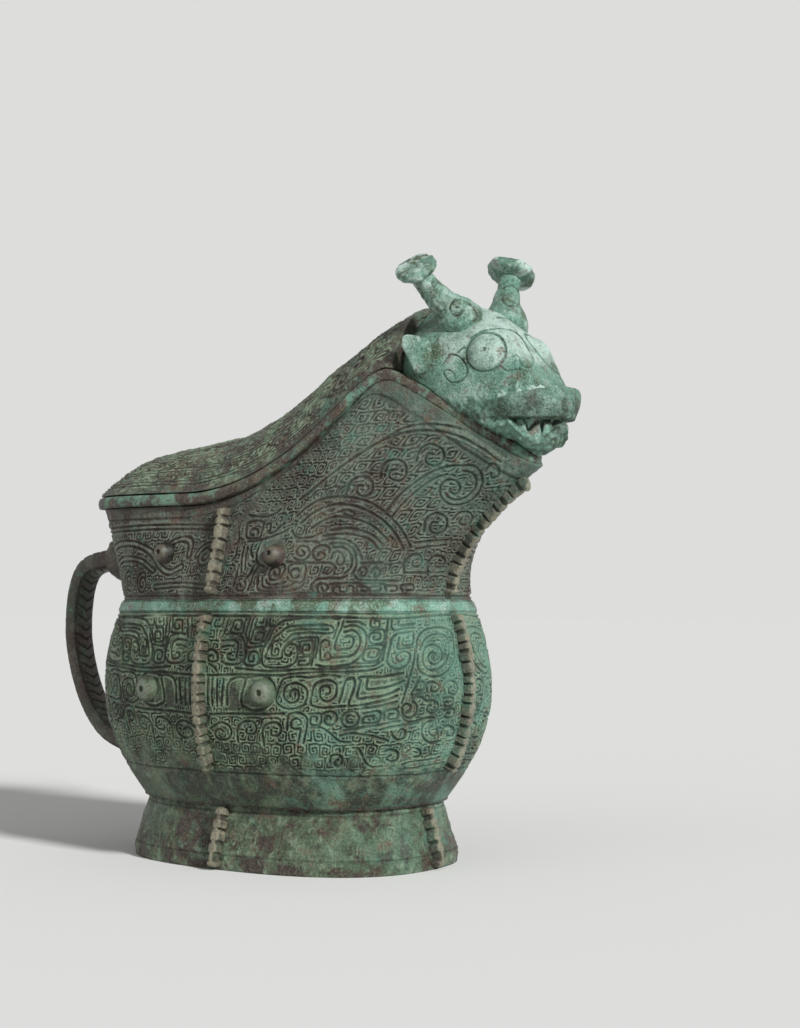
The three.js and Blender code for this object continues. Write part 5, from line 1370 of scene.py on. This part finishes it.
def head_surface(s, x, count):
    """Head: rings of eight rounded corners (crown, brow edges, cheeks, jaws, throat) at stations along x."""
    at = s.head_back + np.array([0, 6, 12, 18, 24, 30, 36, 41, 45, 48, 51, 54, 56.5, 58.5, 60])
    crown_drop = np.array([2, 1, 0, 0.5, 2.2, 5, 10.2, 15.8, 21.2, 26, 31, 35.4, 37.4, 38, 38.6])
    brow = np.array([18, 21.5, 24, 23, 21, 19.2, 17.8, 16.4, 15.2, 14.2, 13, 11.6, 10, 8.6, 7.4])
    brow_drop = np.array([18.5, 17.5, 17.5, 17.5, 17, 14.6, 14.4, 17.6, 22, 26.6, 31.6, 36, 38.2, 39.2, 40])
    cheek = np.array([19, 22, 24.3, 23.5, 22.6, 21.4, 20.2, 19, 17.6, 16.4, 14.8, 12.8, 11, 9.6, 8.4])
    cheek_drop = np.array([32, 31, 31, 31, 31, 31, 32, 34.6, 37, 38.6, 40, 41, 42, 43, 44])
    jaw = np.array([23.5, 23, 22.5, 22, 21.4, 20.4, 19.2, 17.4, 15.6, 14, 12.2, 10.4, 8.6, 7.2, 6])
    rise = np.array([3, 3, 3, 3, 3, 3.5, 4, 5, 5.4, 5.4, 5.2, 5, 4.6, 4, 3])
    crown, brow_z, cheek_z = (s.head_top - drop for drop in (crown_drop, brow_drop, cheek_drop))
    crown, brow, brow_z, cheek, cheek_z, jaw, rise = (
        smooth_table(x, at, v, 1.6) for v in (crown, brow, brow_z, cheek, cheek_z, jaw, rise))
    seat = rim_z(s, np.minimum(x, s.spout_reach)) + 1.3 + 2 * ease((x - 100) / 13)
    low = seat + np.maximum(0, x - s.spout_reach) ** 2 / 16.12
    y = np.stack([cheek, brow, 0 * x, -brow, -cheek, -jaw, 0 * x, jaw, cheek], -1)
    z = np.stack([cheek_z, brow_z, crown, brow_z, cheek_z, low + rise, low, low + rise, cheek_z], -1)
    blunt = np.sqrt(np.clip(1 - (np.maximum(0, x - s.snout + 5) / 5) ** 2, 0, 1))[:, None]
    y, z = y * blunt, s.head_top - 44.5 + (z - s.head_top + 44.5) * (0.25 + 0.75 * blunt)
    t = np.linspace(0, 8, count, endpoint=False)
    k, f = t.astype(int), t % 1
    ring = np.stack([a[:, k] * (1 - f) + a[:, k + 1] * f for a in (y, z)], -1)
    for width in (9, 7):
        ring = np.mean([np.roll(ring, j, 1) for j in range(-width, width + 1)], 0)
    return np.concatenate([np.broadcast_to(x[:, None, None], (*ring.shape[:2], 1)), ring], -1)


def mouth_line(s, x, y):
    """Share of the way along a side of the mouth, from its corner (0) to the tip of the snout (1)."""
    return 1 - np.arctan2(np.abs(y), x - (s.snout - MOUTH_BACK)) / MOUTH_TURN


def mouth_floor(s, share):
    """Height of the lower lip's edge: it hangs in the middle of each side and closes at corner and tip."""
    knots = np.array([-0.05, 0.1, 0.2, 0.35, 0.5, 0.62, 0.75, 0.88, 1.0])
    drop = np.array([-0.6, 2.2, 4.6, 6.4, 7.6, 7.4, 5.8, 3.6, 1.4])
    return s.head_top - MOUTH_DROP - smooth_table(share, knots, drop, 0.05)


def head_piece(node, grid, shade, loops=COLUMNS):
    """Lays down a piece of the head."""
    cast(f"cast_{node}", grid, "head_patina", "lid", [node], shade, loops)


class GUANG_OT_head(bpy.types.Operator):
    """Beast head: brow, cheek curls, heavy lip and the cut of the mouth"""

    bl_idname = "guang.head"
    bl_label = "Beast head"

    def execute(self, context):
        s = sizes()
        nose = 60 - 12 * (1 - np.linspace(0, 1, 75)) ** 1.5
        skin = head_surface(s, np.concatenate([np.linspace(0.3, 48, 170)[:-1], nose]) + s.head_back, 392)
        closed = np.concatenate([skin[:, -1:], skin, skin[:, :1]], 1)
        normal = unit(np.cross(np.gradient(closed, axis=1), np.gradient(closed, axis=0))[:, 1:-1])
        x, y, z = np.moveaxis(skin, -1, 0)
        strokes = [
            bent((28.6, 71.4), (32.4, 73.8), (36.5, 74.9), (41.6, 75.1), (46.1, 74.1), (49.5, 71.4),
                 (52.5, 66.3), (54.2, 62.5), (53.5, 60.2), (51.2, 59.8), (49.3, 61.2), (48.5, 63.5),
                 (47.1, 64.7), (45.6, 63.7)),
            bent((41.4, 59.4), (43.1, 58.2), (45.6, 58.4), (48.7, 59.0)),
            bent((17.2, 60.4), (18.5, 62.5), (20.6, 64.7), (24.1, 63.7), (26.7, 60.4), (27.0, 56.8),
                 (24.5, 53.9), (21.1, 53.3), (18.5, 55.4), (17.8, 57.9), (19.9, 58.4), (21.9, 56.8)),
            bent((23.3, 65.5), (25.9, 67.5), (27.6, 65.5)),
            bent((39.2, 79.8), (42.4, 79.7), (46.0, 79.0), (47.8, 78.0)),
        ]
        furrow = np.zeros(x.shape)
        for side in (1, -1):
            view = seen(skin * (1, side, 1))
            facing = ease((-side * y + 4) / 4)
            for stroke in strokes:
                furrow = np.maximum(furrow, sunk(path_distance(view, stroke, 2), 0.36) * facing)

        # The rings of the eyes and the swelling of the brow
        half = np.stack([x, np.abs(y), z], -1)
        eye_middle, brow_middle = (102, 17.6, 191.8), (107, 12, 195.5)
        socket, swell = (np.linalg.norm(half - point, axis=-1) for point in (eye_middle, brow_middle))
        furrow = np.clip(np.maximum(furrow, sunk(socket - 7.4, 0.5)), 0, 1)

        # The lip over the mouth, its cut and the crusted jaw below
        throat_z, brow_z, crown_z = 178, 182, 196
        share = mouth_line(s, x, y)
        roof, floor = s.head_top - MOUTH_DROP, mouth_floor(s, share)
        ledge = s.head_top - 41.2 + 3.4 * ease((x - s.snout + 24) / 22)
        front = ease((x - s.snout + 28) / 12)
        lip = front * ease((z - roof + 0.2) / 0.6) * ease((ledge - z) / 0.9)
        inside = ease((share + 0.02) / 0.05)
        mouth = inside * ease((roof - z) / 0.5) * ease((z - floor) / 0.5)
        under = inside * ease(1 - np.abs(z - floor + 1.2) / 1.6)
        jaw = np.maximum(ease((ledge + 1.5 - z) / 2.5) * front, ease((throat_z - z + 0.25 * (x - 90)) / 6))
        jaw = jaw * (1 - mouth) * (1 - 0.75 * lip)
        pits = grains(skin, (0.6, 1.2, 20), (0.4, 2.4, 21))
        slope = np.clip((ledge - z) / (ledge - roof), 0, 1)
        high = (3.4 - 2.4 * slope) * lip - 5.2 * mouth + 0.9 * under - 0.5 * furrow
        high = high + 1.9 * ease(1 - swell / 8) * ease((socket - 6.8) / 3)
        high = high + 0.1 * grain(skin, 1.8, 19) + 0.3 * grain(skin, 7, 22) + 0.55 * jaw * pits
        skin = skin + normal * high[..., None]

        # Painted highlight on the brow and along the lip's edge; painted shade lower on the head, in the
        # lines, the mouth and at the back of the crown
        painted_top_light = (0.4 * ease((z - brow_z) / 14) * ease((x - 78) / 12) - 0.12) * (1 - jaw) * (1 - lip)
        # The lip and jaw are darker, partly their patina and partly painted shade; raised pits on the jaw are
        # paler crust
        shade = np.maximum(0.8 * furrow, mouth) - 0.8 * jaw * pits + 0.34 * jaw
        shade = shade + 0.3 * lip * (1 + slope) - painted_top_light
        shade = shade - 0.35 * front * ease(1 - np.abs(z - ledge - 0.3) / 1.2)
        shade = shade + 0.6 * ease((s.head_back + 15 - x) / 8) * ease((z - crown_z) / 5)
        shade = np.concatenate([shade[:1] * 0, shade, shade[-1:]])
        head_piece("beast_head", tipped(skin), shade)
        return {"FINISHED"}


class GUANG_OT_eyes(bpy.types.Operator):
    """Domed eyes"""

    bl_idname = "guang.eyes"
    bl_label = "Eyes"

    def execute(self, context):
        count, radius = 72, 7.2
        t = np.linspace(0, 1, 44)
        dome = 3.9 * (1 - t ** 2.2) ** 0.6
        pit = 0.35 * np.clip(1 - (t / 0.12) ** 4, 0, 1)
        profile = np.concatenate([np.stack([radius * t, dome - pit], -1), [[radius, -2], [0, -2]]])
        # Painted shade in the pit and at the foot of the dome; the dome is paler, a painted highlight
        shade = np.concatenate([np.clip(2 * pit, 0, 1) - 0.25, [0.5, 0]])[:, None] * np.ones(count)
        for side, sign in SIDES:
            normal = np.array([0.3, sign * 0.93, 0.22])
            grid = turned(profile, count, (101.8, sign * 17.5, 191.9), normal)
            head_piece(f"eye_{side}", grid + 0.12 * grain(grid, 2.2, 23)[..., None] * normal, shade)
        return {"FINISHED"}


class GUANG_OT_horns(bpy.types.Operator):
    """Horns that curl out of a rolled root, bend up and end in a disc"""

    bl_idname = "guang.horns"
    bl_label = "Horns"

    def execute(self, context):
        root_radius = 8.6
        right_curl = bent((29.3, 78.0), (31.5, 79.6), (30.2, 83), (27.0, 85.7), (23.9, 87.0), (21.2, 85.7),
                          (20.3, 83.0), (22.1, 80.3), (24.8, 81.2), (24.8, 83.4), (22.5, 83.9))
        left_curl = bent((42.0, 91.9), (44.7, 92.8), (48.3, 90.5), (49.2, 87.0), (47.0, 84.3), (42.9, 85.2),
                         (41.4, 87.6), (43.4, 89.2), (45.4, 88))
        horns = [
            ("right", 3.5, 7.7, (0.04, -0.66, 0.75), right_curl,
             [(88.2, -12, 205), (84.4, -15.8, 210.2), (79.8, -21.8, 217.2), (77, -26.2, 224)]),
            ("left", 4.5, 9.4, (0.06, 0.46, 0.89), left_curl,
             [(93.8, 9.8, 205), (90.8, 14.8, 213), (88, 21.4, 221.8), (86.6, 26, 229.4)]),
        ]
        for side, tip, disc, way, curl, knots in horns:
            path = bent(*knots, steps=34)
            t = np.linspace(0, 1, len(path))
            step = path[3] - path[0]
            root = path[:1] - np.linspace(6, 0.4, 14)[:, None] * step / np.linalg.norm(step)
            path = np.concatenate([root, path])
            ball = root_radius * np.sqrt(1 - np.linspace(0.98, 0.01, 14) ** 2)
            radius = np.interp(t, [0, 0.2, 0.42, 0.66, 1], [root_radius, 7.9, 5.6, 4.3, tip])
            radius = np.concatenate([ball, radius])
            radius = np.convolve(np.pad(radius, 4, "edge"), np.ones(9) / 9, "valid")
            grid = swept(path, radius, 108)
            away = unit(grid - np.concatenate([path[:1], path, path[-1:]])[:, None], 1e-6)
            facing = ease(-2 * away @ quarter_view()[1])
            furrow = sunk(path_distance(seen(grid), curl, 2), 0.38) * facing
            rough = grains(grid, (0.25, 1.5, 24), (0.3, 4, 27))
            grid = grid + away * (rough - 0.45 * furrow)[..., None]
            # The curl's groove is painted darker: painted shade with dark deposit
            head_piece(f"horn_{side}", grid, furrow - ROUGH_PALE * rough)
            q = np.linspace(0, 1, 34)
            top = np.stack([disc * q, 0.9 + 0.5 * q ** 2 - 0.7 * q ** 12], -1)
            under = [[disc + 0.2, -0.4], [disc + 0.1, -1.4], [disc - 0.6, -2.4], [0.7 * disc, -3.2],
                     [4.2, -4.4], [0, -4.6]]
            end, way = np.array(knots[-1]), np.array(way)
            grid = turned(np.concatenate([top, under]), 90, end + 0.9 * way, way)
            lump = grains(grid, (0.55, 1.5, 25), (0.55, 4.4, 28))
            grid = grid + unit(grid - end, 1e-6) * (0.8 * lump)[..., None]
            head_piece(f"horn_cap_{side}", grid, -0.7 * lump)
        return {"FINISHED"}


class GUANG_OT_ears(bpy.types.Operator):
    """Ears: pillowed fins that carry the cheeks back to a raised corner"""

    bl_idname = "guang.ears"
    bl_label = "Ears"

    def execute(self, context):
        corners = np.array([(82.4, 191), (81, 198), (76.6, 199.4), (72.2, 200), (71.4, 196), (73.4, 190.6),
                            (76.4, 184.4), (80.4, 186)])
        t = np.linspace(0, 8, 96, endpoint=False)
        k, f = t.astype(int), (t % 1)[:, None]
        edge = corners[k % 8] * (1 - f) + corners[(k + 1) % 8] * f
        edge = np.mean([np.roll(edge, j, 0) for j in range(-5, 6)], 0)
        middle = edge.mean(0)
        depth = np.linspace(-1, 1, 41)[1:-1, None]
        draw = (1 - np.abs(depth) ** 3) ** (1 / 3)
        x, z = np.moveaxis(middle + draw[..., None] * (edge - middle), -1, 0)
        flare = 23.8 + 0.42 * (79 - x) + 0.1 * np.maximum(0, z - 192)
        fin = tipped(np.stack([x, flare + 2.1 * depth, z], -1))
        rough = grains(fin, (0.3, 1.7, 26), (0.35, 4, 29))
        for side, sign in SIDES:
            grid = (fin + rough[..., None] * (0, 0.8, 0)) * (1, sign, 1)
            head_piece(f"ear_{side}", grid[:, ::-1] if sign > 0 else grid, -ROUGH_PALE * rough)
        return {"FINISHED"}


class GUANG_OT_teeth(bpy.types.Operator):
    """Teeth: pointed plates that follow the mouth, the upper ones between the lower"""

    bl_idname = "guang.teeth"
    bl_label = "Teeth"

    def execute(self, context):
        s = sizes()
        t = np.linspace(-1, 1, 321)
        share = 1 - np.abs(t)
        turn = (1 - share) * MOUTH_TURN * np.sign(t)
        reach = np.interp(share, [0, 0.2, 0.4, 0.6, 0.8, 1], [14.2, 14.9, 15.6, 16.4, 17.0, 17.2]) - 0.6
        roof, floor = s.head_top - MOUTH_DROP, mouth_floor(s, share)
        low = np.interp(share, [0, 0.11, 0.13, 0.22, 0.30, 0.34, 0.57, 0.59, 0.62, 0.68, 0.8, 0.84, 1],
                        [0.2, 0.4, 3.4, 5.4, 4.4, 0.8, 6.8, 1.0, 1.0, 5.6, 4.4, 0.6, 0.4])
        high = np.interp(share, [0, 0.29, 0.30, 0.37, 0.56, 0.58, 0.82, 0.86, 0.95, 1],
                         [0.4, 0.4, 1.6, 4.2, 0.8, 0.3, 0.3, 1.8, 0.3, 0.3])

        def row(inset, height):
            r = reach - inset
            return np.stack([s.snout - MOUTH_BACK + r * np.cos(turn), r * np.sin(turn), height + 0 * r], -1)

        lower = [(0, floor - 1.5), (0.1, floor), (0.5, floor + 0.7 * low), (1.2, floor + low),
                 (2.2, floor + 0.6 * low), (2.6, floor - 1.5)]
        upper = [(2.8, roof + 1.2), (2.6, roof - 0.6 * high), (1.9, roof - high), (1.3, roof - 0.6 * high),
                 (0.9, roof + 1.2)]
        for name, rows in (("lower", lower), ("upper", upper)):
            head_piece(f"teeth_{name}", np.stack([row(*place) for place in rows]), None, ROWS)
        return {"FINISHED"}


# Stage

class GUANG_OT_stage(bpy.types.Operator):
    """Pale floor, soft light and the camera"""

    bl_idname = "guang.stage"
    bl_label = "Stage"

    def execute(self, context):
        scene = context.scene
        scene.view_settings.view_transform = "Standard"
        self.lay_floor(scene)
        self.light_world(scene)
        eye, ahead, across, _ = (Vector(v) for v in quarter_view())
        level = Vector((ahead.x, ahead.y, 0))
        self.hang_sun(scene, "key_light", 3.7, 8, across * 0.75 - level * 0.88 + Vector((0, 0, 0.66)))
        self.hang_sun(scene, "fill_light", 0.25, 60, across * -0.8 - level * 0.8 + Vector((0, 0, 0.6)))
        data = bpy.data.cameras.new("camera")
        data.sensor_width = SENSOR
        data.lens = SENSOR * FOCAL / FRAME_HEIGHT
        data.clip_start, data.clip_end = 0.01, 50
        camera = bpy.data.objects.new("camera", data)
        camera.location = eye * MM
        camera.rotation_euler = ahead.to_track_quat("-Z", "Y").to_euler()
        scene.collection.objects.link(camera)
        scene.camera = camera
        return {"FINISHED"}

    def lay_floor(self, scene):
        """A wide pale floor without gloss."""
        far = 9
        mesh = bpy.data.meshes.new("floor")
        mesh.from_pydata([(-far, -far, 0), (far, -far, 0), (far, far, 0), (-far, far, 0)], [], [(0, 1, 2, 3)])
        floor = bpy.data.objects.new("floor", mesh)
        scene.collection.objects.link(floor)
        paper = bpy.data.materials.new("floor_paper")
        paper.use_nodes = True
        inputs = paper.node_tree.nodes["Principled BSDF"].inputs
        inputs["Base Color"].default_value = (0.76, 0.76, 0.75, 1)
        inputs["Roughness"].default_value = 0.9
        inputs["Specular IOR Level"].default_value = 0
        mesh.materials.append(paper)

    def light_world(self, scene):
        """Even light all round, brighter where the camera sees the background itself or its reflection."""
        world = bpy.data.worlds.new("studio")
        world.use_nodes = True
        tree = world.node_tree
        light = tree.nodes["Background"]
        light.inputs["Color"].default_value = (1, 1, 0.99, 1)
        ray = tree.nodes.new("ShaderNodeLightPath")
        viewed = ray.outputs["Is Transmission Ray"]
        for kind in ("Is Glossy Ray", "Is Camera Ray"):
            either = tree.nodes.new("ShaderNodeMath")
            either.operation = "MAXIMUM"
            tree.links.new(ray.outputs[kind], either.inputs[0])
            tree.links.new(viewed, either.inputs[1])
            viewed = either.outputs[0]
        strength = tree.nodes.new("ShaderNodeMapRange")
        strength.inputs["To Min"].default_value = 0.34
        strength.inputs["To Max"].default_value = 0.725
        tree.links.new(viewed, strength.inputs["Value"])
        tree.links.new(strength.outputs["Result"], light.inputs["Strength"])
        scene.world = world

    def hang_sun(self, scene, name, strength, spread, way):
        """A sun of the given spread in degrees, shining from way."""
        data = bpy.data.lights.new(name, "SUN")
        data.energy, data.angle = strength, math.radians(spread)
        holder = bpy.data.objects.new(name, data)
        holder.location = way
        holder.rotation_euler = (-way).to_track_quat("-Z", "Y").to_euler()
        scene.collection.objects.link(holder)


class GUANG_PT_panel(bpy.types.Panel):
    """Lists the operators that make the vessel"""

    bl_idname = "GUANG_PT_panel"
    bl_label = "Bronze guang"
    bl_space_type = "VIEW_3D"
    bl_region_type = "UI"
    bl_category = "Guang"

    def draw(self, context):
        for operator in OPERATORS:
            self.layout.operator(operator.bl_idname)
        for name in GROUPS:
            group = getattr(context.scene, name)
            for key in group.__annotations__:
                self.layout.prop(group, key)


OPERATORS = (
    GUANG_OT_stage, GUANG_OT_belly, GUANG_OT_band, GUANG_OT_neck, GUANG_OT_foot, GUANG_OT_ribs,
    GUANG_OT_bosses, GUANG_OT_handle, GUANG_OT_lid_rim, GUANG_OT_lid_vault, GUANG_OT_head, GUANG_OT_eyes,
    GUANG_OT_horns, GUANG_OT_ears, GUANG_OT_teeth,
)
GROUPS = {"guang_sizes": GuangSizes, "guang_relief": GuangRelief, "guang_patina": GuangPatina}


def register():
    """Registers the property groups, operators and panel."""
    for key, group in GROUPS.items():
        bpy.utils.register_class(group)
        setattr(bpy.types.Scene, key, PointerProperty(type=group))
    for kind in (*OPERATORS, GUANG_PT_panel):
        bpy.utils.register_class(kind)


def unregister():
    """Takes back what register did."""
    for kind in (GUANG_PT_panel, *reversed(OPERATORS)):
        bpy.utils.unregister_class(kind)
    for key, group in GROUPS.items():
        delattr(bpy.types.Scene, key)
        bpy.utils.unregister_class(group)


def main():
    """Makes every piece and the stage."""
    register()
    for operator in OPERATORS:
        group, name = operator.bl_idname.split(".")
        getattr(getattr(bpy.ops, group), name)()


if __name__ == "__main__":
    main()
